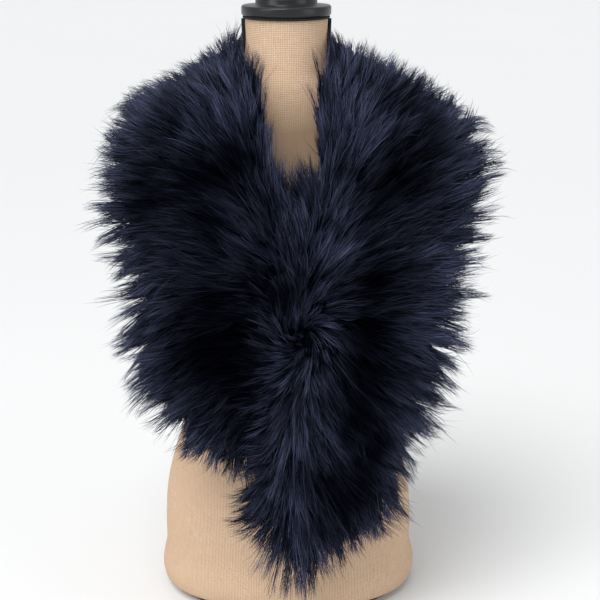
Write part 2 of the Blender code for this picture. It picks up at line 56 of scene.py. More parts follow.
CAP_RADIUS = 0.0560
CAP_DISC = 0.0125
CAP_STEP_RADIUS = 0.0385
CAP_STEP = 0.010
CAP_KNOB_RADIUS = 0.024
CAP_KNOB = 0.016
CAP_ROUND = 0.0030
CAP_MIDDLE = 0.0045       # the radius of the flat face that closes its underside
CAP_SIDES = 112
CAP_KNOB_STEPS = 14
CAP_ROUND_STEPS = 6
KNOB_COVE = ((0.0012, 0.0004),)      # how far out and up, from the foot of the knob's side
STEP_COVE = ((0.0, 0.0016), (0.0012, 0.0003))

PIPING_EDGE_RADIUS = 0.0015
PIPING_SIDE_RADIUS = 0.0021
PIPING_SWELL = 0.0003     # the cord fills this much more on each side than a plain round one
PIPING_SIDES = 14
PIPING_EDGE_STEPS = 96
SIDE_SEAM_FOOT = 0.662
SIDE_SEAM_Y = 0.009
WELD = 0.00001            # points that are closer than this become one

THREAD_PITCH = 0.0022     # of the burlap
TWIST_PITCH = 0.0011      # of the piping
STITCH_WIDTH = 0.0013     # of the backing
STITCH_LENGTH = 0.0011

GRID_STEP = 0.004         # along the strip, of the grid that stands for its cloth
GRID_MARGIN = 0.09        # that the grid goes on past a stretch's ends
GRID_COLUMNS = (-0.15, 1.20, 46)     # its first and last share across, and how many there are
CLOTH_CLEARANCE = 0.0016  # from the form to the cloth
LAYER_CLEARANCE = 0.0020  # from the lower front's pile to the upper front's cloth
CORD_TENT = 0.012         # how far beside a side piping the cloth is still held off by it
CORD_RISE = 0.0050
MOVE_ROUNDS = 3           # in which the cloth is moved off the form
FRONT_Y = -0.05           # before it, the upper front can lie on the lower one
VIEW_Y = -0.6             # well before the whole
BACKING_THICK = 0.0012
BACKING_STEP = 0.006
BACKING_COLUMNS = 26
BACKING_OUTER = (         # at each station, how far inside the tips' reach the backing ends
    (0, 0.058), (2, 0.078), (3, 0.077), (4, 0.071), (5, 0.078), (6, 0.045), (7, 0.067),
    (8, 0.081), (9, 0.082), (10, 0.090), (11, 0.081), (14, 0.073), (17, 0.074), (18, 0.089),
    (19, 0.083), (20, 0.084), (21, 0.076), (22, 0.069), (23, 0.068), (24, 0.056), (25, 0.039),
    (26, 0.035), (28, 0.024),
)
BACKING_INNER = (         # at each station, how far inside the strip's inner edge it begins
    (0, 0.012), (6, 0.006), (7, -0.012), (7.5, -0.006), (8, 0.011), (8.5, 0.012), (9, 0.004),
    (10, -0.004), (11, -0.001), (12, 0.014), (14, 0.018), (16, 0.014), (17, 0.006), (18, 0.003),
    (18.5, -0.006), (19, -0.005), (19.5, 0.006), (20, 0.015), (20.6, -0.009), (21, -0.009),
    (22, 0.008), (22.6, 0.020), (23, 0.032), (23.5, 0.045), (24, 0.050), (25, 0.036),
    (26, 0.002), (27, -0.008), (28, -0.010),
)
BACKING_ENDS = 0.086      # how far inside the strip's ends the backing ends
BACKING_TIP = 0.002       # cut off its ends, where it would narrow to nothing
BACKING_ROUND = 0.05      # the length over which its ends narrow
BACKING_MIDDLE = (0.45, 0.55)        # towards which they narrow, from the inner and outer edge
LEAST_WIDTH = 0.03        # of the strip, so that no share of it grows too large
LEAST_STRIDE = 0.35       # of the cloth's length for a length along the strip, for the same reason
SEAM_GAP = 0.0003
STRIP_WIDTH = 0.24        # over the pile, for the cloth's own pattern

UNDERCOAT_STEP = 0.005
UNDERCOAT_COLUMNS = 34
UNDERCOAT_LEAST = 0.0010
UNDERCOAT_LEVEL = 0.50    # of the pile's height
UNDERCOAT_LUMPS = 0.22
UNDERCOAT_EDGE = 0.10     # the share of the width over which it rises from its edges
UNDERCOAT_END = 0.03      # and the length over which it rises from its ends
WAVES = 9                 # that add up to its lumps
WAVE_LIMITS = ((3, 14), (60, 420), (0, 6.28))        # of their count across and along, and phase

HAIR_LENGTH = 0.062
HAIR_WIDTH = 0.00070
HAIR_SPREAD = 0.35        # the share by which widths differ
HAIR_TWIST = 0.6          # how far a flat hair turns round its own line, in radians
HAIR_CLEARANCE = 0.0025   # from the form
HAIR_COUNT = 168000
HIDDEN_FLATNESS = 0.6     # the other front hides the pile where it is flatter than this
HIDDEN_SHARE = 0.35       # of the roots, which are left there
HAIRS_A_WISP = 10
WISPS_A_TUFT = 10
TIP_REACH = 0.015         # no tip goes further past the strip's outer edge
REACH_ASIDE = 0.297       # or further out to either side
REACH_BACK = 0.189        # or to the back
PILE_LEVEL = (            # at each station, the height that the pile keeps over the backing
    (0, 1.0), (9.4, 1.0), (10.2, 0.76), (11, 0.62), (12, 0.62), (13, 0.86), (14.8, 0.86),
    (15.6, 0.60), (16.2, 0.34), (16.9, 0.36), (17.6, 0.72), (18.4, 1.0), (28, 1.0),
)
PILE_LEAST = 0.004
LIFT_PAST_PILE = 0.014    # no hair rises further than this over its level in the pile
CELL = 0.006              # along the strip, of the cells that roots are spread over
ROOT_COLUMNS = (0.02, 0.98, 25)      # the cells' first and last share across, and their number
AREA_COLUMNS = (0, 1, 20)            # and the same for the cells that measure the area
STRAY_SHARE = 0.06
WISP_REACH = 0.0032       # from a wisp's middle to its flank, at the roots
LONG_SHARE = 0.25         # of the wisps, which stand out of the pile
LONG_REACH = 0.94         # of the full length, which the long wisps have at the edges too
RIM_LONGER = 0.14         # how much longer they are towards the outer edge
LOCK_ALONG = (25.1, 0.6)  # from this station on, they hang down as a lock at the point
LOCK_ACROSS = 0.37
LOCK_REACH = 0.13
LOCK_LONGER = 0.90
# Where across the strip something begins near its outer edge, and over what share it grows.
RIM = (0.45, 0.20)
LOOSE_RIM = (0.55, 0.30)
OVERHANG = (0.60, 0.40)
LIT_RIM = (0.55, 0.35)    # as a share of the backing

# A group of tufts, wisps or hairs: the shares across and places of their roots, their length as
# a share of the pile's, their turn out of the combing, their level in the pile's height, and how
# far they stand, from 0 to 1.
Growth = namedtuple("Growth", "across places length turn level stands")
# How tufts, wisps and hairs differ: the spread of their turn in degrees, and the least and the
# most of their level in the pile, their length and how far they stand. Hairs stand as their wisp
# does. Strays multiply their level and length, and add to how far they stand.
Habit = namedtuple("Habit", "level length stands")
TUFT_TURN, WISP_TURN, HAIR_TURN, STRAY_TURN = 7, 8, 5, 15
TUFT_SWIRL = 36           # the most that a lump of tufts turns together
TUFT_LEVEL_LUMPS = 0.30
TUFT_LENGTH_LUMPS = 0.40
TUFT = Habit((0.86, 1.10), (0.90, 1.10), (0.0, 0.35))
LONG_WISP = Habit((0.95, 1.15), (1.05, 1.40), (0.3, 0.65))
SHORT_WISP = Habit((0.62, 1.05), (0.70, 1.02), (-0.15, 0.15))
HAIR = Habit((0.90, 1.05), (0.75, 1.06), None)
STRAY = Habit(1.15, 1.12, 0.3)
FLANK_LEVEL, CREST_LEVEL = 0.80, 0.20    # a hair's level on its wisp's flank, and what is added
LONG_DRAWN, SHORT_DRAWN = 0.12, 0.34     # how closely the wisps of a tuft come together
RIM_DRAWN = 0.36          # and how much more towards the outer edge
GATHER = (0.50, 0.88)     # how closely the hairs of a wisp come together
STRAY_GATHER = 0.15
RIM_LOOSE = 0.12          # and how much less towards the outer edge
ROOT_SHARE = 0.35         # of the pile's height, at which a hair starts in the undercoat,
ROOT_MOST = 0.012         # and the most that this can be
PARTING_RISE = 0.10       # of the pile's height, added where the pile parts and stands up
INNER_REACH = -0.05       # the share across that no hair passes at the inner edge
# A fibre's four points: their share of the pile's height, their rise as it would grow alone,
# and the stride to the next, as shares of its length.
COURSE = ((0.0, 0.0, 0.24), (0.56, 0.29, 0.29), (0.88, 0.48, 0.31), (1.0, 0.60, 0.0))
DRAW = np.array((0.0, 0.35, 0.75, 1.0))[None, :, None]           # how far each is drawn together
UNEVEN = np.array((0.0007, 0.0013, 0.0022))[None, :, None]       # and moved by chance
FALL = ((2, 0.002), (3, 0.005))                                  # and hangs, at the outer edge
LIGHTS = tuple("light_%d" % point for point in range(4))         # and the painted light in its colour
TINT, CREST_HIGHLIGHT = 0.14, 0.30        # how light a fibre is, and a painted highlight on its wisp's crest,
TINT_TUFT, TINT_WISP, TINT_HAIR = 0.13, 0.17, 0.30               # and how much that differs
LIGHT_LEAST, LIGHT_PART, LIGHT_RIM = 0.50, 1.05, 0.92            # painted light all over, and added to it
PART_REACH = 0.12         # across the strip, to either side of the parting
FULL_LEVEL = 0.95         # of a hair that is fully lit, where one lower down is in shadow
LEVEL_RANGE = (0.25, 1.15)
LEVEL_POWER = 1.5

Section = namedtuple("Section", "height half_width half_depth middle_y square")
TORSO_SECTIONS = tuple(Section(*row) for row in (
    (0.0000, 0.1640, 0.1070, 0.006, 2.3),
    (0.0060, 0.1700, 0.1120, 0.006, 2.3),
    (0.0700, 0.1730, 0.1140, 0.006, 2.3),
    (0.1500, 0.1690, 0.1120, 0.006, 2.3),
    (0.2500, 0.1430, 0.1000, 0.003, 2.2),
    (0.3450, 0.1210, 0.0880, 0.000, 2.1),
    (0.4300, 0.1340, 0.1040, -0.008, 2.1),
    (0.5050, 0.1480, 0.1190, -0.012, 2.2),
    (0.5600, 0.1550, 0.1120, -0.006, 2.3),
    (0.6100, 0.1680, 0.0980, 0.002, 2.6),
    (0.6450, 0.1830, 0.0850, 0.008, 2.7),
    (0.6600, 0.1800, 0.0770, 0.009, 2.6),
    (0.6740, 0.1520, 0.0700, 0.010, 2.4),
    (0.6900, 0.1130, 0.0640, 0.010, 2.2),
    (0.7050, 0.0800, 0.0590, 0.009, 2.1),
    (0.7200, 0.0610, 0.0545, 0.008, 2.0),
    (0.7420, 0.0530, 0.0525, 0.008, 2.0),
    (0.7900, 0.0512, 0.0512, 0.008, 2.0),
))

# The fur strip, from its hidden end to its point, as in the solids.
Station = namedtuple(
    "Station", "inner_x inner_y inner_drop outer_x outer_y outer_drop arch pile"
)
STRIP_STATIONS = tuple(Station(*row) for row in (
    (0.064, -0.130, 0.625, 0.056, -0.130, 0.629, 0.000, 0.016),
    (0.085, -0.130, 0.592, 0.010, -0.128, 0.612, 0.003, 0.020),
    (0.088, -0.132, 0.556, -0.065, -0.124, 0.584, 0.008, 0.026),
    (0.082, -0.134, 0.508, -0.130, -0.118, 0.554, 0.010, 0.034),
    (0.068, -0.136, 0.446, -0.176, -0.111, 0.509, 0.012, 0.040),
    (0.052, -0.137, 0.380, -0.215, -0.101, 0.457, 0.014, 0.042),
    (0.034, -0.132, 0.315, -0.210, -0.087, 0.398, 0.016, 0.042),
    (0.014, -0.121, 0.252, -0.218, -0.071, 0.338, 0.020, 0.040),
    (-0.008, -0.104, 0.190, -0.247, -0.048, 0.286, 0.020, 0.038),
    (-0.022, -0.080, 0.132, -0.256, -0.020, 0.236, 0.022, 0.034),
    (-0.040, -0.042, 0.080, -0.250, 0.006, 0.202, 0.016, 0.031),
    (-0.055, 0.010, 0.048, -0.234, 0.045, 0.186, 0.000, 0.030),
    (-0.047, 0.044, 0.038, -0.184, 0.086, 0.194, 0.010, 0.034),
    (-0.026, 0.061, 0.034, -0.104, 0.112, 0.222, 0.004, 0.040),
    (0.000, 0.066, 0.032, 0.000, 0.124, 0.236, 0.000, 0.042),
    (0.026, 0.061, 0.034, 0.110, 0.112, 0.222, 0.004, 0.040),
    (0.047, 0.044, 0.038, 0.202, 0.086, 0.190, 0.010, 0.036),
    (0.055, 0.010, 0.046, 0.262, 0.045, 0.168, -0.006, 0.034),
    (0.052, -0.034, 0.070, 0.282, 0.006, 0.184, 0.008, 0.035),
    (0.042, -0.072, 0.116, 0.286, -0.020, 0.228, 0.014, 0.038),
    (0.028, -0.106, 0.182, 0.270, -0.044, 0.274, 0.014, 0.042),
    (0.006, -0.138, 0.254, 0.246, -0.068, 0.337, 0.016, 0.042),
    (-0.018, -0.152, 0.322, 0.232, -0.087, 0.404, 0.016, 0.042),
    (-0.041, -0.159, 0.395, 0.212, -0.103, 0.470, 0.014, 0.040),
    (-0.055, -0.160, 0.468, 0.178, -0.115, 0.540, 0.012, 0.038),
    (-0.061, -0.155, 0.545, 0.150, -0.121, 0.605, 0.010, 0.035),
    (-0.055, -0.145, 0.617, 0.102, -0.126, 0.656, 0.008, 0.032),
    (-0.039, -0.134, 0.675, 0.054, -0.127, 0.698, 0.004, 0.027),
    (0.000, -0.126, 0.719, 0.008, -0.125, 0.725, 0.000, 0.018),
))
FIRST_SHOULDER = 11
NAPE = 14
SECOND_SHOULDER = 17
PROFILE_ACROSS = (0.00, 0.05, 0.14, 0.26, 0.42, 0.60, 0.78, 0.92, 1.00)
PROFILE_HEIGHT = (0.00, 0.56, 0.90, 1.00, 0.86, 0.74, 0.60, 0.34, 0.02)

# A soft round place on the strip: where it is, how far it reaches and how much it does.
Spot = namedtuple("Spot", "along across reach_along reach_across amount")
# Where the pile lies deeper, in metres.
HOLLOWS = tuple(Spot(*row) for row in (
    (6.0, 0.52, 0.80, 0.17, 0.016),
    (8.6, 0.36, 0.50, 0.15, 0.010),
    (12.6, 0.55, 0.70, 0.16, 0.010),
    (15.8, 0.50, 0.80, 0.18, 0.010),
    (19.0, 0.48, 0.50, 0.14, 0.009),
    (21.4, 0.44, 0.75, 0.13, 0.016),
    (23.6, 0.62, 0.60, 0.16, 0.009),
))
# The pile's length as a share of its full length: how it grows across the strip from what it
# is beside the inner edge, how it falls towards the outer edge, and what it is beside the inner
# edge at each station.
FROM_INNER = ((0.0, 0.0), (0.15, 0.6), (0.35, 1.0))
TO_RIM = ((0.35, 1.0), (0.60, 0.84), (1.0, 0.52))
INNER_LENGTH = (
    (0, 1.0), (6, 0.90), (7, 0.88), (8, 0.66), (9, 0.58), (11, 0.46), (14, 0.46), (17, 0.50),
    (19, 0.56), (20, 0.70), (21, 0.90), (22, 0.80), (23, 0.60), (24, 0.50), (25, 0.54),
    (26, 0.66), (27, 0.70), (28, 0.75),
)
# Painted shade in the pile's colour, where it lies deeper and in shadow, as a share of the light
# that is lost.
# Where the amount is negative, painted light is added instead, where the pile catches more light.
SHADES = tuple(Spot(*row) for row in (
    (5.38, 0.48, 1.00, 0.27, 0.95),
    (5.75, 0.56, 0.25, 0.10, 0.80),
    (4.9, 0.52, 0.25, 0.07, -0.30),
    (5.0, 0.86, 0.50, 0.15, -0.70),
    (2.9, 0.93, 0.60, 0.12, -2.20),
    (6.35, 0.47, 0.45, 0.15, 0.88),
    (8.4, 0.23, 0.66, 0.17, 0.96),
    (8.6, 0.11, 0.42, 0.10, 0.92),
    (8.5, 0.32, 0.32, 0.09, 0.92),
    (8.4, -0.02, 0.35, 0.05, -0.50),
    (6.3, 0.12, 0.30, 0.07, 0.55),
    (5.7, 0.17, 0.25, 0.08, 0.55),
    (5.45, 0.31, 0.30, 0.08, 0.60),
    (4.4, 0.34, 0.30, 0.10, 0.40),
    (7.6, 0.08, 0.35, 0.06, 0.50),
    (7.6, 0.28, 0.32, 0.08, 0.65),
    (8.4, 0.61, 0.55, 0.13, 0.66),
    (8.2, 0.58, 0.25, 0.08, 0.55),
    (8.9, 0.57, 0.35, 0.08, 0.50),
    (7.7, 0.36, 0.35, 0.10, 0.60),
    (7.4, 0.60, 0.25, 0.10, 0.30),
    (8.9, 0.88, 0.50, 0.15, -0.80),
    (6.9, 0.54, 0.30, 0.10, -0.20),
    (7.0, 0.40, 0.40, 0.10, 0.35),
    (9.6, 0.48, 0.50, 0.16, 0.40),
    (7.6, 0.12, 0.40, 0.08, 0.45),
    (10.6, 0.58, 0.80, 0.30, -1.50),
    (9.8, 0.88, 0.50, 0.14, -0.80),
    (10.1, 0.54, 0.35, 0.12, -0.60),
    (10.8, 0.20, 0.40, 0.10, -0.40),
    (12.6, 0.55, 0.70, 0.18, 0.60),
    (15.6, 0.50, 0.60, 0.20, 0.60),
    (17.0, 0.34, 0.60, 0.20, -2.20),
    (17.2, 0.52, 0.50, 0.15, -0.60),
    (17.8, 0.80, 0.60, 0.20, -1.30),
    (18.9, 0.46, 0.35, 0.12, 0.60),
    (19.6, 0.35, 0.50, 0.16, 0.98),
    (20.0, 0.31, 0.40, 0.11, 0.75),
    (20.5, 0.26, 0.40, 0.09, 0.70),
    (19.9, 0.11, 0.30, 0.08, 0.55),
    (19.1, 0.18, 0.25, 0.08, -0.50),
    (18.3, 0.29, 0.30, 0.11, 0.35),
    (20.6, 0.50, 0.30, 0.10, -0.30),
    (20.9, 0.42, 0.25, 0.09, 0.50),
    (20.7, 0.87, 0.60, 0.12, -0.90),
    (18.4, 0.82, 0.70, 0.16, -0.70),
    (18.8, 0.08, 0.40, 0.07, -0.30),
    (21.2, 0.375, 0.64, 0.13, 0.975),
    (21.7, 0.24, 0.30, 0.08, 0.55),
    (23.3, 0.18, 0.40, 0.09, 0.45),
    (24.7, 0.27, 0.30, 0.08, 0.25),
    (26.6, 0.60, 0.50, 0.30, -0.40),
    (22.0, 0.42, 0.50, 0.12, 0.94),
    (22.5, 0.45, 0.80, 0.13, 0.98),
    (21.7, 0.80, 0.60, 0.14, -0.30),
    (22.4, 0.72, 0.50, 0.10, 0.40),
    (23.4, 0.50, 0.55, 0.13, 0.96),
    (23.1, 0.33, 0.35, 0.08, 0.45),
    (23.8, 0.79, 0.50, 0.11, -0.40),
    (23.9, 0.67, 0.38, 0.10, 0.94),
    (21.8, 0.60, 0.40, 0.11, -1.00),
    (22.6, 0.15, 0.40, 0.08, 0.62),
    (24.7, 0.62, 0.60, 0.16, 0.90),
    (25.4, 0.54, 0.45, 0.12, 0.35),
    (21.7, 0.03, 0.45, 0.08, 0.70),
    (24.6, 0.44, 0.40, 0.10, 0.80),
    (22.8, -0.04, 0.45, 0.09, 0.95),
    (23.5, -0.02, 0.60, 0.10, 0.90),
    (21.7, -0.02, 0.28, 0.07, 0.80),
    (24.8, 0.30, 1.60, 0.30, 0.26),
    (24.2, 0.36, 0.35, 0.08, 0.30),
))
OVERLAP_DROP = 0.18       # below the neck's top, where the fronts begin to cross
FLAT_LEAD = 0.035         # how far before the upper front's edge the lower pile begins to lie down
FLAT_FADE = 0.050
FLAT_SHARE = 0.42         # of the pile's height, which is left under the upper front

# How the pile is combed. "part" is where it parts, as a share of the width. The angles are
# towards the nape: "inner" from straight inwards, for the tips beside the inner edge, "outer"
# from straight outwards, for those beside the outer edge, and "ridge" for both at the parting.
# "fan" is the share of the width over which the outer pile turns from "ridge" to "outer".
Comb = namedtuple("Comb", "station part inner ridge outer fan")
COMBING = tuple(Comb(*row) for row in (
    (0.0, 0.25, -60, -60, -60, 0.20),
    (2.0, 0.22, -10, -20, -80, 0.20),
    (3.0, 0.20, 10, 0, -64, 0.20),
    (4.0, 0.14, 60, 50, -45, 0.20),
    (5.0, 0.08, 95, 85, -32, 0.24),
    (5.8, 0.06, 92, 88, -46, 0.28),
    (6.5, 0.06, 62, 86, -30, 0.30),
    (7.0, 0.08, 36, 84, -10, 0.32),
    (7.7, 0.08, 36, 83, -28, 0.34),
    (8.6, 0.07, 56, 81, -2, 0.38),
    (9.2, 0.07, 66, 80, 14, 0.40),
    (10.0, 0.07, 74, 76, 24, 0.40),
    (11.0, 0.08, 60, 64, 24, 0.36),
    (12.0, 0.12, 30, 34, 14, 0.26),
    (14.0, 0.14, 0, 0, 0, 0.20),
    (16.0, 0.12, 30, 34, 14, 0.26),
    (17.0, 0.10, 60, 64, 26, 0.40),
    (18.0, 0.10, 72, 76, 27, 0.46),
    (19.0, 0.10, 72, 78, 22, 0.44),
    (19.6, 0.10, 50, 78, 20, 0.42),
    (20.2, 0.11, 36, 76, 18, 0.36),
    (21.0, 0.13, 44, 74, 10, 0.30),
    (21.7, 0.15, 40, 64, -2, 0.24),
    (22.1, 0.17, 28, 46, -8, 0.20),
    (22.5, 0.19, 12, -30, -14, 0.18),
    (23.2, 0.22, -4, -50, -22, 0.20),
    (24.0, 0.26, -12, -58, -28, 0.22),
    (25.2, 0.30, -20, -70, -40, 0.24),
    (26.0, 0.34, -28, -80, -50, 0.26),
    (27.0, 0.42, -45, -86, -62, 0.28),
    (28.0, 0.50, -70, -88, -76, 0.30),
))
INNER_FAN = 0.09
PART_WIDTH = 0.14         # the share of the width over which the pile turns from inner to outer
# On the upper front, the pile turns out of a plain star in a whorl.
WHORL = Spot(22.3, 0.18, 0.55, 0.16, math.radians(62))
STRAIGHTNESS = 0.6        # 0 bends every fibre with the cloth under it, and 1 keeps it straight
FREEDOM = 0.30            # 0 keeps the tips at the pile's height, and 1 lets them stand freely
MOST_FREEDOM = 0.95       # of a fibre that stands fully

# The pile's pieces: the stations that each runs between, and the solid it stands for.
PILE_SPANS = (
    ("pile_under_front", "fur_front_under", 0.0, 6.6),
    ("pile_under_shoulder", "fur_front_under", 6.6, 11.0),
    ("pile_nape_right", "fur_back_neck", 11.0, 14.0),
    ("pile_nape_left", "fur_back_neck", 14.0, 17.0),
    ("pile_over_shoulder", "fur_front_over", 17.0, 20.8),
    ("pile_over_front", "fur_front_over", 20.8, 24.0),
    ("pile_over_point", "fur_front_over", 24.0, 28.0),
)
# The seeds of the random draws, to which the piece's number is added.
ROOTS_SEED = 100
FIBRES_SEED = 200
UNDERCOAT_SEED = 50

FLOOR_REACH = 20.0
FLOOR_SHADE = (0.76, 0.765, 0.765)
SKY = (0.97, 0.985, 1.0)
SKY_STRENGTH = 0.64
LIT_PLACE = (0.0, 0.0, 0.5)
Lamp = namedtuple("Lamp", "name kind place energy spread")
LAMPS = (
    Lamp("key", "SUN", (-0.7, -1.2, 2.9), 2.1, math.radians(36)),
    Lamp("window", "AREA", (-1.3, -1.0, 1.3), 8.0, 0.9),
    Lamp("fill", "AREA", (1.4, -0.8, 1.0), 4.0, 0.9),
)
CAMERA_PLACE = (0.0030, -1.4299, 0.908)
CAMERA_DIP = 18.5         # degrees below the horizon
CAMERA_LENS = 69.0
CAMERA_SENSOR = 36.0


# ---------------------------------------------------------------- node trees
def by_operator(operation, swapped=False):
    """The method for one of Python's operators, which adds a node."""
    def method(self, other):
        return self.join(operation, *((other, self) if swapped else (self, other)))
    return method


class Term:
    """A node's output, on which Python's operators add Math or Vector Math nodes."""

    def __init__(self, tree, socket, vector=False):
        self.tree = tree
        self.socket = socket
        self.vector = vector

    def join(self, operation, first, second):
        vectors = [isinstance(one, Term) and one.vector for one in (first, second)]
        values = {0: first, 1: second}
        if not any(vectors):
            return self.tree.term("ShaderNodeMath", {"operation": operation}, values)
        if operation == "MULTIPLY" and not all(vectors):
            operation = "SCALE"
            values = {0: second, "Scale": first} if vectors[1] else {0: first, "Scale": second}
        return self.tree.term(
            "ShaderNodeVectorMath", {"operation": operation}, values, vector=True
        )

    __add__, __radd__ = by_operator("ADD"), by_operator("ADD", True)
    __sub__, __rsub__ = by_operator("SUBTRACT"), by_operator("SUBTRACT", True)
    __mul__, __rmul__ = by_operator("MULTIPLY"), by_operator("MULTIPLY", True)
    __truediv__ = by_operator("DIVIDE")
    __pow__ = by_operator("POWER")

    def maths(self, operation, *others, clamp=False):
        settings = {"operation": operation, "use_clamp": clamp}
        return self.tree.term("ShaderNodeMath", settings, dict(enumerate((self, *others))))

    def clamped(self):
        return self.maths("ADD", 0.0, clamp=True)


class Tree:
    """A node tree that is filled by calls."""

    def __init__(self, tree):
        self.tree = tree

    def node(self, kind, settings=None, values=None):
        made = self.tree.nodes.new(kind)
        for name, value in (settings or {}).items():
            setattr(made, name, value)
        for name, value in (values or {}).items():
            if isinstance(value, Term):
                value = value.socket
            if isinstance(value, bpy.types.NodeSocket):
                self.tree.links.new(value, made.inputs[name])
            else:
                made.inputs[name].default_value = value
        return made

    def term(self, kind, settings=None, values=None, output=0, vector=False):
        return Term(self, self.node(kind, settings, values).outputs[output], vector)

    def attribute(self, name):
        return self.term("ShaderNodeAttribute", {"attribute_name": name}, output="Fac")

    def noise(self, where, scale, detail=3.0, roughness=0.5):
        return self.term("ShaderNodeTexNoise", values={
            "Vector": where, "Scale": scale, "Detail": detail, "Roughness": roughness,
        })

    def streaks(self, where, scales, detail, roughness=0.5):
        """Noise that is finer along some axes than along others."""
        scaled = [part * scale for part, scale in zip(self.parts(where), scales)]
        return self.noise(self.vector(*scaled), 1.0, detail, roughness)

    def mix(self, share, first, second):
        """A colour between two, each a term or red, green and blue."""
        first, second = (
            (*one, 1.0) if isinstance(one, tuple) else one for one in (first, second)
        )
        values = {"Factor": share, 6: first, 7: second}
        return self.term("ShaderNodeMix", {"data_type": "RGBA"}, values, output=2, vector=True)

    def parts(self, vector):
        made = self.node("ShaderNodeSeparateXYZ", values={0: vector})
        return [Term(self, output) for output in made.outputs]

    def vector(self, x, y, z=0.0):
        return self.term("ShaderNodeCombineXYZ", values={0: x, 1: y, 2: z}, vector=True)

    def bump(self, height, distance, strength=1.0):
        return self.term("ShaderNodeBump", values={
            "Height": height, "Distance": distance, "Strength": strength,
        }, vector=True)


class Finish(Tree):
    """A material with a Principled shader, and the tree that feeds it."""

    SOCKETS = {
        "base_color": "Base Color", "roughness": "Roughness", "coat": "Coat Weight",
        "normal": "Normal",
    }

    def __init__(self, name, constants):
        self.material = bpy.data.materials.new(name)
        self.material.use_nodes = True
        super().__init__(self.material.node_tree)
        self.shader = self.tree.nodes["Principled BSDF"]
        for socket, value in constants.items():
            self.shader.inputs[socket].default_value = value

    def where(self, uv_name=None):
        """Places in a UV map or, without one, in the piece's own space."""
        if uv_name:
            return self.term("ShaderNodeUVMap", {"uv_map": uv_name}, vector=True)
        return self.term("ShaderNodeTexCoord", output="Object", vector=True)

    def feed(self, **terms):
        """Links what varies, and gives back the material."""
        for name, term in terms.items():
            self.tree.links.new(term.socket, self.shader.inputs[self.SOCKETS[name]])
        return self.material


# ---------------------------------------------------------------- finishes
def fur_finish():
    """Navy-black fibres: near black at the root, slate navy towards the tip, with painted light
    and shade in the colour and a painted sheen in the coat. The painted light changes along each
    fibre from one of its four points to the next."""
    tree = Finish("navy_fur_pile", {
        "Specular IOR Level": 0.0, "Coat Roughness": 0.36, "Coat IOR": 1.38,
    })
    along = tree.attribute("along")
    tint = tree.attribute("tint")
    light = tree.attribute(LIGHTS[0])
    for number, name in enumerate(LIGHTS[1:]):
        passed = (3.0 * along - float(number)).clamped()
        light = light + (tree.attribute(name) - light) * passed
    # Painted light and shade: the colour darkens towards the root, partly as the fibre's own
    # darker root and partly as painted shade deep in the pile, and follows the painted light
    # stored at its four points.
    lit = ((along ** 1.4) * light).clamped()
    root = tree.mix(tint, (0.0002, 0.0003, 0.0008), (0.0008, 0.0010, 0.0024))
    tip = tree.mix(tint, (0.0024, 0.0037, 0.0120), (0.0800, 0.0920, 0.1700))
    return tree.feed(
        base_color=tree.mix(lit, root, tip),
        roughness=0.60 + 0.20 * tint,
        # a painted sheen: the coat grows with the painted light
        coat=0.30 * lit,
    )


def undercoat_finish():
    """The short, dense fibres under the pile."""
    tree = Finish("navy_undercoat", {"Specular IOR Level": 0.0})
    streaks = tree.streaks(tree.where("flow"), (90.0, 900.0), 4.0, 0.6)
    return tree.feed(
        base_color=tree.mix(streaks, (0.0004, 0.0005, 0.0012), (0.0020, 0.0023, 0.0046)),
        roughness=0.80 + 0.15 * streaks,
        normal=tree.bump(streaks, 0.002, 0.8),
    )


def backing_finish():
    """The knitted ground that the pile is set in, seen from behind."""
    tree = Finish("navy_knitted_backing", {"Specular IOR Level": 0.20})
    where = tree.where("flow")
    across, along, _ = tree.parts(where)
    wale = (across * (math.pi / STITCH_WIDTH)).maths("SINE").maths("ABSOLUTE")
    course = (along * (math.pi / STITCH_LENGTH)).maths("SINE").maths("ABSOLUTE")
    loops = wale * (0.55 + 0.45 * course)
    wear = tree.noise(where, 60.0)
    tone = (0.55 * loops + 0.6 * wear).clamped()
    return tree.feed(
        base_color=tree.mix(tone, (0.0045, 0.0050, 0.0090), (0.0200, 0.0215, 0.0300)),
        roughness=0.80 + 0.12 * wear,
        normal=tree.bump(loops, 0.0004),
    )


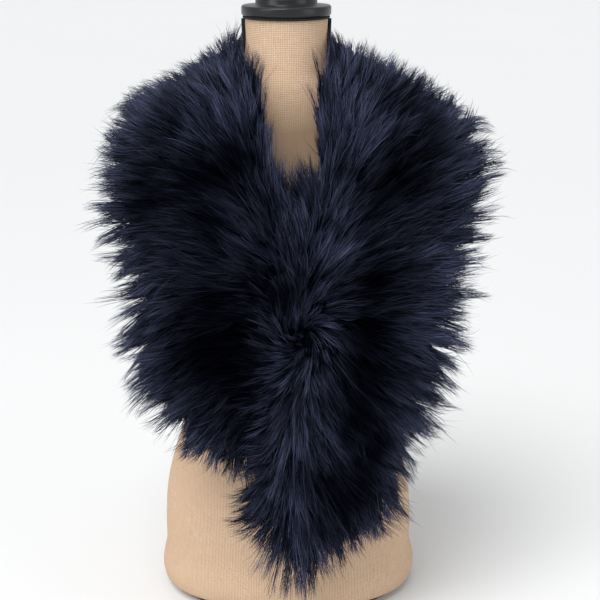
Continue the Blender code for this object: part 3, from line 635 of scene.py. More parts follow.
def burlap_finish():
    """Plain-woven burlap: uneven threads with dark gaps between them, aged in blotches, and with
    painted shade making it darker where the neck meets the chest, between the fur fronts."""
    tree = Finish("woven_burlap", {"Specular IOR Level": 0.22})
    where = tree.where("weave")
    across, along, _ = tree.parts(where)
    wander = tree.noise(where, 70.0, 3.0) - 0.5
    warp_count = across / THREAD_PITCH + 0.60 * wander
    weft_count = along / THREAD_PITCH + 0.55 * wander
    warp_wave = (warp_count * math.pi).maths("SINE")
    weft_wave = (weft_count * math.pi).maths("SINE")
    over = (0.5 + 1.6 * warp_wave * weft_wave).clamped()
    warp = warp_wave.maths("ABSOLUTE") ** 1.1
    weft = weft_wave.maths("ABSOLUTE") ** 1.1
    height = warp * over + weft * (1.0 - over)
    warp_slub = tree.streaks(where, (820.0, 60.0), 2.0)
    weft_slub = tree.streaks(where, (60.0, 820.0), 2.0)
    slub = warp_slub * over + weft_slub * (1.0 - over)
    blotch = tree.noise(where, 9.0, 3.0)
    fibre = tree.noise(where, 2600.0, 2.0)
    thread = tree.mix(
        (2.6 * slub - 0.80).clamped(), (0.600, 0.390, 0.245), (1.000, 0.790, 0.590)
    )
    aged_and_shaded = tree.mix((0.9 * blotch - 0.05).clamped(), (0.720, 0.495, 0.335), thread)
    # Painted shade: the cloth darkens from 7 cm down from the neck's top, fully by 14 cm, and
    # fades out again past 26 cm, for the fur fronts' shadow.
    down = 0.0 - along
    painted_neck_shade = ((down - 0.072) / 0.068).clamped() * (1.0 - ((down - 0.26) / 0.05).clamped())
    aged_and_shaded = tree.mix(0.80 * painted_neck_shade, aged_and_shaded, (0.150, 0.105, 0.066))
    gaps = (1.30 * height + 0.25 * fibre - 0.05).clamped()
    return tree.feed(
        base_color=tree.mix(gaps, (0.180, 0.112, 0.062), aged_and_shaded),
        roughness=0.84 + 0.12 * slub,
        normal=tree.bump(height + 0.35 * slub + 0.15 * fibre, 0.0006, 0.9),
    )


def piping_finish():
    tree = Finish("black_piping_cord", {"Specular IOR Level": 0.35})
    where = tree.where("cord")
    along, around, _ = tree.parts(where)
    twist = (along / TWIST_PITCH + 2.0 * around) * math.pi
    twist = twist.maths("SINE").maths("ABSOLUTE")
    dust = tree.noise(where, 40.0)
    tone = (0.6 * twist + 0.5 * dust).clamped()
    return tree.feed(
        base_color=tree.mix(tone, (0.0035, 0.0035, 0.0042), (0.0170, 0.0170, 0.0190)),
        roughness=0.62 + 0.2 * dust,
        normal=tree.bump(twist, 0.0003),
    )


def lacquer_finish():
    tree = Finish("black_turned_lacquer", {
        "Specular IOR Level": 0.30, "Coat Weight": 0.10, "Coat Roughness": 0.10,
    })
    where = tree.where()
    grain = tree.streaks(where, (22.0, 22.0, 150.0), 3.0)
    ripple = tree.noise(where, 60.0, 2.0)
    return tree.feed(
        base_color=tree.mix(grain, (0.0070, 0.0075, 0.0090), (0.0160, 0.0170, 0.0200)),
        roughness=0.24 + 0.14 * ripple,
        normal=tree.bump(grain + 0.6 * ripple, 0.0002, 0.5),
    )


def board_finish():
    tree = Finish("painted_board", {"Specular IOR Level": 0.40})
    grain = tree.streaks(tree.where(), (14.0, 160.0, 160.0), 4.0)
    return tree.feed(
        base_color=tree.mix(grain, (0.010, 0.010, 0.010), (0.030, 0.029, 0.027)),
        roughness=0.45 + 0.2 * grain,
        normal=tree.bump(grain, 0.0003, 0.6),
    )


def floor_finish():
    tree = Finish("studio_floor", {"Specular IOR Level": 0.2, "Roughness": 0.8})
    cloud = tree.noise(tree.where(), 0.8)
    deeper = tuple(0.97 * part for part in FLOOR_SHADE)
    return tree.feed(base_color=tree.mix(cloud, FLOOR_SHADE, deeper))


# ---------------------------------------------------------------- meshes from grids
def new_object(name, data):
    made = bpy.data.objects.new(name, data)
    bpy.context.scene.collection.objects.link(made)
    return made


def new_piece(name, mesh, material):
    mesh.materials.append(material)
    return new_object(name, mesh)


def looped(grid):
    """A grid whose first column follows again after its last."""
    return np.concatenate((grid, grid[:, :1]), axis=1)


def lengths(grid, axis):
    """Lengths along a grid's rows or columns, from its first."""
    steps = np.linalg.norm(np.diff(grid, axis=axis), axis=2)
    zero = np.zeros_like(np.take(steps, [0], axis=axis))
    return np.concatenate((zero, np.cumsum(steps, axis=axis)), axis=axis)


def distances(points):
    """How far each point lies along the line through all of them."""
    steps = np.linalg.norm(np.diff(points, axis=0), axis=1)
    return np.concatenate(([0.0], np.cumsum(steps)))


def tube(name, grid, uv_name, material, uv=None, caps=True, weld=0.0):
    """A smooth piece round a grid (rings, points round), closed round and, with caps, at its
    ends. Where weld is more than 0, points that are closer than this become one."""
    rings, sides = grid.shape[:2]
    if uv is None:
        uv = np.stack((lengths(looped(grid), 1), lengths(looped(grid), 0)), axis=2)
    faces, corners = [], []
    for r in range(rings - 1):
        for k in range(sides):
            square = ((r, k), (r, k + 1), (r + 1, k + 1), (r + 1, k))
            faces.append(tuple(row * sides + column % sides for row, column in square))
            corners += [uv[corner] for corner in square]
    if caps:
        for ring, order in ((0, -1), (rings - 1, 1)):
            indices = list(range(sides))[::order]
            faces.append(tuple(ring * sides + k for k in indices))
            corners += [uv[ring, k] for k in indices]
    mesh = bpy.data.meshes.new(name)
    mesh.from_pydata([tuple(point) for point in grid.reshape(-1, 3)], [], faces)
    layer = mesh.uv_layers.new(name=uv_name)
    layer.data.foreach_set("uv", np.array(corners, dtype=np.float32).ravel())
    mesh.shade_smooth()
    work = bmesh.new()
    work.from_mesh(mesh)
    if weld:
        bmesh.ops.remove_doubles(work, verts=work.verts, dist=weld)
    bmesh.ops.recalc_face_normals(work, faces=work.faces)
    work.to_mesh(mesh)
    work.free()
    return new_piece(name, mesh, material)


# ---------------------------------------------------------------- curves through tables
class Track:
    """A smooth curve through the rows of a table, read at many places at once."""

    def __init__(self, rows, places):
        self.rows = np.array(rows, float)
        self.places = np.array(places, float)
        self.slopes = np.gradient(self.rows, self.places, axis=0)

    def at(self, places):
        places = np.clip(np.asarray(places, float), self.places[0], self.places[-1])
        i = np.searchsorted(self.places, places, side="right") - 1
        i = np.clip(i, 0, len(self.places) - 2)
        span = self.places[i + 1] - self.places[i]
        t = ((places - self.places[i]) / span)[..., None]
        span = span[..., None]
        return (
            (2 * t**3 - 3 * t**2 + 1) * self.rows[i]
            + (t**3 - 2 * t**2 + t) * span * self.slopes[i]
            + (3 * t**2 - 2 * t**3) * self.rows[i + 1]
            + (t**3 - t**2) * span * self.slopes[i + 1]
        )


def from_table(table, stations, column=1):
    """A column of a table whose rows begin with their place, straight between its rows."""
    return np.interp(stations, [row[0] for row in table], [row[column] for row in table])


def ramp(values, start, length):
    """0 up to the start, 1 from a length after it, and straight between them."""
    return np.clip((values - start) / length, 0.0, 1.0)


def closeness(spot, stations, across):
    """1 in the spot's middle, and less and less away from it."""
    away = ((stations - spot.along) / spot.reach_along) ** 2
    return np.exp(-(away + ((across - spot.across) / spot.reach_across) ** 2))


def unit(vectors):
    return vectors / np.maximum(np.linalg.norm(vectors, axis=-1, keepdims=True), 1e-9)


# ---------------------------------------------------------------- the dress form
def torso_ring(section, height, inset=0.0):
    """Points round the torso at a height, from the middle of its back."""
    half_width, half_depth, middle_y, square = section
    turns = math.pi / 2 + 2 * math.pi * np.arange(TORSO_SIDES) / TORSO_SIDES
    reach = 2.0 / square
    cosines, sines = np.cos(turns), np.sin(turns)
    x = (half_width - inset) * np.sign(cosines) * np.abs(cosines) ** reach
    y = middle_y + (half_depth - inset) * np.sign(sines) * np.abs(sines) ** reach
    return np.stack((x, y, np.full_like(x, height)), axis=1)


def torso_grid():
    """The torso's rings from the neck down, the last of them round its foot's edge."""
    table = [section[1:] for section in TORSO_SECTIONS]
    track = Track(table, [section.height for section in TORSO_SECTIONS])
    foot = BOARD_THICK + FIT_GAP
    count = math.ceil((NECK_TOP - foot) / TORSO_STEP)
    rings = [
        torso_ring(track.at(height), height)
        for height in np.linspace(NECK_TOP, foot + FOOT_ROUND, count)
    ]
    lowest = track.at(foot + FOOT_ROUND)
    for k in range(1, FOOT_STEPS + 1):
        turn = math.pi / 2 * k / FOOT_STEPS
        inset = FOOT_ROUND * (1 - math.cos(turn))
        rings.append(torso_ring(lowest, foot + FOOT_ROUND * (1 - math.sin(turn)), inset))
    return np.array(rings)


def make_torso(material):
    grid = torso_grid()
    around = lengths(looped(grid), 1)
    around -= around[:, TORSO_SIDES // 2][:, None]
    uv = np.stack((around, -lengths(looped(grid), 0)), axis=2)
    return tube("torso_cover", grid - CENTRE, "weave", material, uv)


def neck_circle(radius, height, sides):
    """Points round the neck's middle line."""
    turns = 2 * math.pi * np.arange(sides) / sides
    return np.stack((
        radius * np.cos(turns),
        TORSO_SECTIONS[-1].middle_y + radius * np.sin(turns),
        np.full_like(turns, height),
    ), axis=1)


def rounded(radius, top):
    """A profile's rounded upper edge, from its top outwards and down."""
    turns = [math.pi / 2 * k / CAP_ROUND_STEPS for k in range(CAP_ROUND_STEPS + 1)]
    return [
        (radius - CAP_ROUND * (1 - math.sin(turn)), top - CAP_ROUND * (1 - math.cos(turn)))
        for turn in turns
    ]


def make_cap(material):
    """The turned cap: a wide disc, a step with a small cove, and a low domed knob."""
    foot = NECK_TOP + FIT_GAP
    disc_top = foot + CAP_DISC
    step_top = disc_top + CAP_STEP
    turns = [math.pi / 2 * k / CAP_KNOB_STEPS for k in range(1, CAP_KNOB_STEPS + 1)]
    disc = rounded(CAP_RADIUS, disc_top)
    dome = [(CAP_KNOB_RADIUS * math.sin(turn), CAP_KNOB * math.cos(turn)) for turn in turns]
    profile = [
        *((radius, step_top + height) for radius, height in dome),
        *((CAP_KNOB_RADIUS + out, step_top + up) for out, up in KNOB_COVE),
        *rounded(CAP_STEP_RADIUS, step_top),
        *((CAP_STEP_RADIUS + out, disc_top + up) for out, up in STEP_COVE),
        *disc,
        *((radius, foot + disc_top - height) for radius, height in reversed(disc)),
        (CAP_MIDDLE, foot),
    ]
    grid = np.array([neck_circle(radius, height, CAP_SIDES) for radius, height in profile])
    return tube("turned_cap", grid - CENTRE, "turning", material)


def make_cord(name, route, radius, closed, material):
    """A round cord along a route, with a UV map of length along and turns round."""
    if closed:
        ahead = unit(np.roll(route, -1, axis=0) - np.roll(route, 1, axis=0))
        side = np.array((0.0, 0.0, 1.0)) + 0 * ahead
    else:
        ahead = unit(np.gradient(route, axis=0))
        side = unit(np.cross(ahead, np.array((0.0, 1.0, 0.001)) + 0 * ahead))
    up = unit(np.cross(side, ahead))
    turns = 2 * math.pi * np.arange(PIPING_SIDES) / PIPING_SIDES
    ring = side[:, None] * np.cos(turns)[:, None] + up[:, None] * np.sin(turns)[:, None]
    grid = route[:, None] + radius * ring
    if closed:
        grid = np.concatenate((grid, grid[:1]))
    around = np.arange(PIPING_SIDES + 1) / PIPING_SIDES
    uv = np.stack(np.broadcast_arrays(distances(grid[:, 0])[:, None], around), axis=2)
    return tube(name, grid - CENTRE, "cord", material, uv, caps=not closed, weld=WELD)


def make_pipings(material):
    """The cords round the neck's edge and down both side seams, by the nodes they stand for."""
    radius = TORSO_SECTIONS[-1].half_width + PIPING_EDGE_RADIUS + FIT_GAP
    route = neck_circle(radius, NECK_TOP - PIPING_EDGE_RADIUS, PIPING_EDGE_STEPS)
    cord = make_cord("neck_edge_cord", route, PIPING_EDGE_RADIUS, True, material)
    pieces = {"piping_neck_edge": cord}
    grid = torso_grid()
    top = NECK_TOP - 2 * PIPING_EDGE_RADIUS - 2 * FIT_GAP
    for name, side, column in (
        ("piping_side_left", 1, 3 * TORSO_SIDES // 4), ("piping_side_right", -1, TORSO_SIDES // 4)
    ):
        seam = grid[:, column]
        seam = seam[(seam[:, 2] >= SIDE_SEAM_FOOT) & (seam[:, 2] <= top)]
        seam = np.concatenate(([(seam[0][0], seam[0][1], top)], seam))
        x, _, z = np.gradient(seam, axis=0).T
        outward = unit(np.stack((-side * z, 0 * z, side * x), axis=1))
        radius = PIPING_SIDE_RADIUS + PIPING_SWELL
        route = seam + outward * (radius + FIT_GAP / 2)
        pieces[name] = make_cord(name + "_cord", route, radius, False, material)
    return pieces


# ---------------------------------------------------------------- the fur strip
def strip_track():
    """The strip's rows, by the length along its middle line."""
    table = np.array([
        (
            station.inner_x, station.inner_y, NECK_TOP - station.inner_drop,
            station.outer_x, station.outer_y, NECK_TOP - station.outer_drop,
            station.arch, station.pile,
        )
        for station in STRIP_STATIONS
    ])
    return Track(table, distances((table[:, :3] + table[:, 3:6]) / 2))


def backing_points(track, across, places):
    """Points of the strip's underside, for every place and every share across."""
    row = track.at(places)
    before = track.at(places - GRID_STEP)
    after = track.at(places + GRID_STEP)
    inner, outer = row[:, 0:3], row[:, 3:6]
    ahead = (after[:, 0:3] + after[:, 3:6]) - (before[:, 0:3] + before[:, 3:6])
    outward = unit(np.cross(ahead, outer - inner))
    u = across[None, :, None]
    lift = (row[:, 6:7] * outward)[:, None]
    return inner[:, None] + u * (outer - inner)[:, None] + 4 * u * (1 - u) * lift


def surface_tree(node):
    """A solid's surface, to find its nearest points and what a ray hits."""
    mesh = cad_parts[node].data
    points = [vertex.co for vertex in mesh.vertices]
    faces = [tuple(polygon.vertices) for polygon in mesh.polygons]
    return BVHTree.FromPolygons(points, faces)


def blurred(field, rounds):
    """A field of numbers or vectors, averaged with its neighbours over the grid."""
    for _ in range(rounds):
        for axis in (0, 1):
            ahead = np.concatenate((
                np.take(field, range(1, field.shape[axis]), axis=axis),
                np.take(field, [-1], axis=axis),
            ), axis=axis)
            behind = np.concatenate((
                np.take(field, [0], axis=axis),
                np.take(field, range(field.shape[axis] - 1), axis=axis),
            ), axis=axis)
            field = 0.5 * field + 0.25 * (ahead + behind)
    return field


def raised(field, rounds):
    """Each number becomes the largest of itself and its neighbours."""
    for _ in range(rounds):
        for axis in (0, 1):
            ahead = np.roll(field, -1, axis=axis)
            behind = np.roll(field, 1, axis=axis)
            field = np.maximum(field, np.maximum(ahead, behind))
    return field


class Pelt:
    """One stretch of the strip as a fine grid over it, which is read at many points at once."""

    ACROSS = np.linspace(*GRID_COLUMNS)

    def __init__(self, track, start, end, torso, layer=None):
        self.track = track
        self.start, self.end = start, end
        self.places = np.arange(start - GRID_MARGIN, end + GRID_MARGIN, GRID_STEP)
        grid = backing_points(track, self.ACROSS, np.clip(self.places, 0, track.places[-1]))
        self._lengthen_ends(grid)
        grid = grid + self._off_torso(grid, torso)
        if layer is not None:
            grid = grid + self._off_layer(grid, layer)
        self.points = grid - CENTRE
        self.by_place = np.gradient(self.points, self.places, axis=0)
        self.by_across = np.gradient(self.points, self.ACROSS, axis=1)
        self.normals = unit(blurred(unit(np.cross(self.by_place, self.by_across)), 2))
        self.heights = self._pile_heights()

    def _lengthen_ends(self, grid):
        """Past the strip's own ends, the grid goes straight on."""
        last = self.track.places[-1]
        for inside, first, next_in in (
            (self.places >= 0, 0, 4), (self.places <= last, -1, -5),
        ):
            kept = np.nonzero(inside)[0]
            edge, beside = kept[first], kept[next_in]
            step = (grid[edge] - grid[beside]) / (self.places[edge] - self.places[beside])
            for row in np.nonzero(~inside)[0]:
                grid[row] = grid[edge] + step * (self.places[row] - self.places[edge])

    def _off_torso(self, grid, torso):
        """Moves of the points that lie in the form or too close to it."""
        shifts = np.zeros_like(grid)
        for _ in range(MOVE_ROUNDS):
            moved = grid + shifts
            for index in np.ndindex(grid.shape[:2]):
                point = moved[index]
                nearest, normal, _, _ = torso.find_nearest(Vector(point - CENTRE))
                clearance = CLOTH_CLEARANCE
                if point[2] > SIDE_SEAM_FOOT - CORD_TENT:
                    from_seam = abs(point[1] - SIDE_SEAM_Y)
                    clearance += CORD_RISE * min(max(1.5 - from_seam / CORD_TENT, 0.0), 1.0)
                short = clearance - (Vector(point - CENTRE) - nearest).dot(normal)
                if short > 0:
                    shifts[index] += np.array(normal) * short
        return shifts

    def _off_layer(self, grid, layer):
        """Moves forward, of the points that would lie in the front that is already there."""
        forward = np.zeros(grid.shape[:2])
        for index in np.ndindex(grid.shape[:2]):
            point = grid[index] - CENTRE
            if grid[index][1] > FRONT_Y:
                continue
            viewed = Vector((point[0], VIEW_Y, point[2]))
            hit, _, _, _ = layer.ray_cast(viewed, Vector((0, 1, 0)))
            if hit is not None:
                forward[index] = max(point[1] - hit.y + LAYER_CLEARANCE, 0.0)
        forward = blurred(raised(forward, 2), 6)
        return np.stack((0 * forward, -forward, 0 * forward), axis=2)

    def _pile_heights(self):
        pile = self.track.at(self.places)[:, 7]
        profile = np.interp(self.ACROSS, PROFILE_ACROSS, PROFILE_HEIGHT)
        heights = pile[:, None] * profile[None, :]
        stations = self.station(self.places)[:, None]
        for hollow in HOLLOWS:
            heights -= hollow.amount * closeness(hollow, stations, self.ACROSS[None, :])
        heights = heights * from_table(PILE_LEVEL, stations)
        return np.maximum(heights * self.flatness(), PILE_LEAST)

    def flatness(self):
        """1, but less where the other front lies on the pile."""
        if self.start > 0:
            return np.ones(self.points.shape[:2])
        rising = self.track.rows[SECOND_SHOULDER:][::-1]
        points = self.points + CENTRE
        edge = np.interp(points[..., 2], rising[:, 2], rising[:, 0])
        share = ramp(points[..., 0] - edge, -FLAT_LEAD, FLAT_FADE)
        flat = 1.0 - (1.0 - FLAT_SHARE) * share * share * (3 - 2 * share)
        return np.where(points[..., 2] > NECK_TOP - OVERLAP_DROP, 1.0, flat)

    def station(self, places):
        """The table's station at each place, with what lies between two of them."""
        return np.interp(places, self.track.places, np.arange(len(self.track.places)))

    def read(self, field, across, places):
        """The field at points between the grid's, straight between its four neighbours."""
        i = (np.asarray(places) - self.places[0]) / (self.places[1] - self.places[0])
        j = (np.asarray(across) - self.ACROSS[0]) / (self.ACROSS[1] - self.ACROSS[0])
        i = np.clip(i, 0, len(self.places) - 1.001)
        j = np.clip(j, 0, len(self.ACROSS) - 1.001)
        row, column = i.astype(int), j.astype(int)
        a, b = i - row, j - column
        if field.ndim == 3:
            a, b = a[..., None], b[..., None]
        return (
            (1 - a) * (1 - b) * field[row, column] + a * (1 - b) * field[row + 1, column]
            + (1 - a) * b * field[row, column + 1] + a * b * field[row + 1, column + 1]
        )

    def backing_edges(self, places):
        """The shares across at which the backing begins and ends."""
        row = self.track.at(places)
        width = np.maximum(np.linalg.norm(row[:, 3:6] - row[:, 0:3], axis=1), LEAST_WIDTH)
        last = self.track.places[-1]
        room = ramp(np.minimum(places, last - places), BACKING_ENDS, BACKING_ROUND) ** 0.5
        inner = from_table(BACKING_INNER, self.station(places)) / width
        outer = 1 - from_table(BACKING_OUTER, self.station(places)) / width
        middle = BACKING_MIDDLE[0] * inner + BACKING_MIDDLE[1] * outer
        return middle + (inner - middle) * room, middle + (outer - middle) * room

    def span(self):
        """Where the stretch's backing starts and ends along the strip."""
        last = self.track.places[-1]
        low = max(self.start + SEAM_GAP / 2, BACKING_ENDS + BACKING_TIP)
        high = min(self.end - SEAM_GAP / 2, last - BACKING_ENDS - BACKING_TIP)
        return low, high


def closed_layer(name, pelt, low_height, high_height, step, columns, material):
    """A closed body over the backing, between two heights given as functions of the grid."""
    low, high = pelt.span()
    places = np.linspace(low, high, math.ceil((high - low) / step) + 1)
    inner, outer = pelt.backing_edges(places)
    share = np.linspace(0.0, 1.0, columns)
    across = inner[:, None] + (outer - inner)[:, None] * share[None, :]
    along = np.broadcast_to(places[:, None], across.shape)
    base = pelt.read(pelt.points, across, along)
    normals = pelt.read(pelt.normals, across, along)
    heights = pelt.read(pelt.heights, across, along)
    under = base + normals * low_height(across, along, heights)[..., None]
    over = base + normals * high_height(across, along, heights)[..., None]
    grid = np.concatenate((over, under[:, ::-1]), axis=1)
    both = looped(np.concatenate((across, across[:, ::-1]), axis=1))
    length = np.broadcast_to(places[:, None], both.shape)
    uv = np.stack((both * STRIP_WIDTH, length), axis=2)
    return tube(name, grid, "flow", material, uv)


def lumps(across, along, seed):
    """Smooth random waves, longer across the strip than along it."""
    rng = random.Random(seed)
    total = np.zeros_like(across)
    for _ in range(WAVES):
        a, b, phase = (rng.uniform(*limits) for limits in WAVE_LIMITS)
        total = total + np.sin(a * across + b * along + phase + 0.8 * np.sin(9 * across))
    return total / WAVES


def make_backing(name, pelt, material):
    return closed_layer(
        name, pelt,
        lambda across, along, heights: 0 * heights,
        lambda across, along, heights: 0 * heights + BACKING_THICK,
        BACKING_STEP, BACKING_COLUMNS, material,
    )


def make_undercoat(name, pelt, seed, material):
    """The short dense fibres as a lumpy layer, which is lower at the backing's edges and at
    the strip's own ends, but not where the next stretch follows."""
    def high(across, along, heights):
        inner, outer = pelt.backing_edges(along[:, 0])
        share = (across - inner[:, None]) / np.maximum(outer - inner, 1e-6)[:, None]
        low, top = pelt.span()
        ends = ramp(np.minimum(along - low, top - along), 0.0, UNDERCOAT_END)
        if pelt.start > 0:
            ends = np.where(along - low < UNDERCOAT_END, 1.0, ends)
        if pelt.end < pelt.track.places[-1]:
            ends = np.where(top - along < UNDERCOAT_END, 1.0, ends)
        edge = ramp(np.minimum(share, 1 - share), 0.0, UNDERCOAT_EDGE) ** 0.5
        level = UNDERCOAT_LEVEL + UNDERCOAT_LUMPS * lumps(across, along, seed)
        return BACKING_THICK + UNDERCOAT_LEAST + edge * ends ** 0.5 * heights * level

    return closed_layer(
        name, pelt,
        lambda across, along, heights: 0 * heights + BACKING_THICK + FIT_GAP,
        high,
        UNDERCOAT_STEP, UNDERCOAT_COLUMNS, material,
    )


# ---------------------------------------------------------------- the pile
def comb_vectors(pelt, across, places, turn):
    """Which way the pile lies at each root, in the cloth: shares outwards and along the strip.
    The vector is shorter where the pile parts, and there it stands up."""
    stations = pelt.station(places)
    part, inner, ridge, outer, fan = (
        from_table(COMBING, stations, column) for column in range(1, len(Comb._fields))
    )
    inner, ridge, outer = np.radians(inner), np.radians(ridge), np.radians(outer)
    outer = outer + (ridge - outer) * np.exp(-np.maximum(across - part, 0) / fan)
    inner = inner + (ridge - inner) * np.exp(-np.maximum(part - across, 0) / INNER_FAN)
    share = np.clip((across - part) / PART_WIDTH + 0.5, 0.0, 1.0)
    share = share * share * (3 - 2 * share)
    outwards = share * np.cos(outer) - (1 - share) * np.cos(inner)
    along = share * np.sin(outer) + (1 - share) * np.sin(inner)
    along = along * np.where(places < pelt.track.places[NAPE], 1.0, -1.0)
    turn = turn + WHORL.amount * closeness(WHORL, stations, across)
    return (
        outwards * np.cos(turn) - along * np.sin(turn),
        outwards * np.sin(turn) + along * np.cos(turn),
    )


def grown_length(pelt, across, places, long):
    """The pile's length: shorter at both edges of the strip, but for its long wisps."""
    at_inner = from_table(INNER_LENGTH, pelt.station(places))
    from_inner = from_table(FROM_INNER, across)
    share = from_table(TO_RIM, across) * (at_inner + (1 - at_inner) * from_inner)
    return HAIR_LENGTH * (share + long * np.clip(LONG_REACH - share, 0, 1))


def combed(pelt, growth, long=0.0):
    """The four points of each fibre, as combed over the pile, and the shares across and places
    of these. The more a fibre stands, from 0 to 1, the straighter it is and the further out of
    the pile."""
    u, s, length, turn, level, stands = growth
    length = grown_length(pelt, u, s, long) * length
    outwards, along = comb_vectors(pelt, u, s, turn)
    lies = np.minimum(np.hypot(outwards, along), 1.0)
    root = pelt.read(pelt.points, u, s)
    root_height = pelt.read(pelt.heights, u, s)
    normal = pelt.read(pelt.normals, u, s)
    tangent = (
        unit(pelt.read(pelt.by_across, u, s)) * outwards[:, None]
        + unit(pelt.read(pelt.by_place, u, s)) * along[:, None]
    )
    keeps_straight = (STRAIGHTNESS + (1 - STRAIGHTNESS) * stands)[:, None]
    stands_free = FREEDOM + (MOST_FREEDOM - FREEDOM) * stands
    kept_level = from_table(PILE_LEVEL, pelt.station(s))
    went = np.zeros_like(u)
    points, passes = [], []
    for number, (share, rise, stride) in enumerate(COURSE):
        height = (0.5 * pelt.read(pelt.heights, u, s) + 0.5 * root_height) * level
        kept = height * (share + PARTING_RISE * (1 - lies))
        free = stands_free * (length * kept_level * rise - kept)
        lift = np.minimum(kept + free, kept + LIFT_PAST_PILE * kept_level)
        if number == 0:
            lift = np.minimum(ROOT_SHARE * root_height, ROOT_MOST)
        follows = pelt.read(pelt.points, u, s) + pelt.read(pelt.normals, u, s) * lift[..., None]
        straight = root + tangent * went[:, None] + normal * lift[..., None]
        points.append(follows + keeps_straight * (straight - follows))
        passes.append((u, s))
        stride = length * stride
        went = went + stride
        wide, deep = (
            np.maximum(np.linalg.norm(pelt.read(field, u, s), axis=-1), least)
            for field, least in ((pelt.by_across, LEAST_WIDTH), (pelt.by_place, LEAST_STRIDE))
        )
        u = np.clip(u + outwards * stride / wide, INNER_REACH, 1.0 + TIP_REACH / wide)
        s = s + along * stride / deep
    return np.stack(points, axis=1), passes


def cells(pelt, low, high, shares):
    """The backing between two places in cells: their places, their area, and their area
    weighed by how many roots they hold, which are fewer where another front hides the pile."""
    places = np.arange(low, high, CELL)
    inner, outer = pelt.backing_edges(places)
    u = inner[:, None] + (outer - inner)[:, None] * shares[None, :]
    s = np.broadcast_to(places[:, None], u.shape)
    area = np.linalg.norm(np.cross(
        pelt.read(pelt.by_place, u, s), pelt.read(pelt.by_across, u, s)
    ), axis=-1) * (outer - inner)[:, None]
    hidden = pelt.read(pelt.flatness(), u, s) < HIDDEN_FLATNESS
    return places, area, area * np.where(hidden, HIDDEN_SHARE, 1.0)


def strip_area(pelt, low, high):
    """The backing's area between two places, plain and weighed."""
    _, area, weighed = cells(pelt, low, high, np.linspace(*AREA_COLUMNS))
    return [float(field.mean(axis=1).sum() * CELL) for field in (area, weighed)]


def scattered(pelt, low, high, count, rng):
    """Roots spread evenly over the backing's area between two places."""
    shares = np.linspace(*ROOT_COLUMNS)
    places, _, weighed = cells(pelt, low, high, shares)
    edges = np.cumsum(weighed.ravel())
    picks = (np.arange(count) + rng.random(count)) / count * edges[-1]
    cell = np.minimum(np.searchsorted(edges, picks), edges.size - 1)
    row, column = np.divmod(cell, shares.size)
    place = np.clip(places[row] + rng.random(count) * CELL, low, high)
    first, last = pelt.backing_edges(place)
    share = shares[column] + (rng.random(count) - 0.5) * (shares[1] - shares[0])
    return first + (last - first) * np.clip(share, 0, 1), place


def nearest_of(points, centres):
    """For each point, the number of the nearest centre."""
    tree = KDTree(len(centres))
    for index, centre in enumerate(centres):
        tree.insert(centre, index)
    tree.balance()
    return np.array([tree.find(point)[1] for point in points])


def grow_tufts(u, s, rng, seed):
    """Tufts that differ by chance and, together with their neighbours, in lumps."""
    count, clump = len(u), lumps(u, s, seed)
    turn = np.radians(rng.normal(0, TUFT_TURN, count) + TUFT_SWIRL * lumps(u, s, seed + 1))
    level = rng.uniform(*TUFT.level, count) * (1 + TUFT_LEVEL_LUMPS * clump)
    length = rng.uniform(*TUFT.length, count) * (1 + TUFT_LENGTH_LUMPS * clump)
    return Growth(u, s, length, turn, level, rng.uniform(*TUFT.stands, count))


def grow_wisps(pelt, u, s, tufts, tuft_of, rng):
    """Wisps, each as its tuft but for what it draws, and which of them are long."""
    count = len(u)
    long = rng.random(count) < LONG_SHARE

    def drawn(trait):
        least_and_most = (getattr(habit, trait) for habit in (LONG_WISP, SHORT_WISP))
        return np.where(long, *[rng.uniform(*pair, count) for pair in least_and_most])

    turn = tufts.turn[tuft_of] + np.radians(rng.normal(0, WISP_TURN, count))
    level = tufts.level[tuft_of] * drawn("level")
    length = tufts.length[tuft_of] * drawn("length")
    lock = ramp(pelt.station(s), *LOCK_ALONG) * np.exp(-((u - LOCK_ACROSS) / LOCK_REACH) ** 2)
    length = length * (1 + RIM_LONGER * ramp(u, *RIM) * long) * (1 + LOCK_LONGER * lock * long)
    stands = np.clip(tufts.stands[tuft_of] + drawn("stands"), 0, 1)
    return Growth(u, s, length, turn, level, stands), long


def grow_hairs(u, s, wisps, wisp_of, stray, crest, rng):
    """Hairs, each as its wisp but for what it draws. Strays leave their wisp."""
    count = len(u)
    turn = rng.normal(0, HAIR_TURN, count) + stray * rng.normal(0, STRAY_TURN, count)
    level = wisps.level[wisp_of] * rng.uniform(*HAIR.level, count)
    level = level * (FLANK_LEVEL + CREST_LEVEL * crest)
    length = wisps.length[wisp_of] * rng.uniform(*HAIR.length, count)
    return Growth(
        u, s,
        length * np.where(stray, STRAY.length, 1.0),
        wisps.turn[wisp_of] + np.radians(turn),
        level * np.where(stray, STRAY.level, 1.0),
        np.clip(wisps.stands[wisp_of] + stray * STRAY.stands, 0, 1),
    )


def within_reach(hairs, across):
    """The hairs, clipped to the solids' size, with those at the outer edge hanging a little."""
    hairs[..., 0] = np.clip(hairs[..., 0], -REACH_ASIDE, REACH_ASIDE)
    hairs[..., 1] = np.minimum(hairs[..., 1], REACH_BACK)
    for point, fall in FALL:
        hairs[:, point, 2] -= fall * ramp(across, *OVERHANG)
    return hairs


def painted_shading(pelt, across, places):
    """1, but less under the painted shade of SHADES, and more under their painted light."""
    stations = pelt.station(places)
    light = np.ones_like(across)
    for shade in SHADES:
        light = light * (1 - shade.amount * closeness(shade, stations, across))
    return light


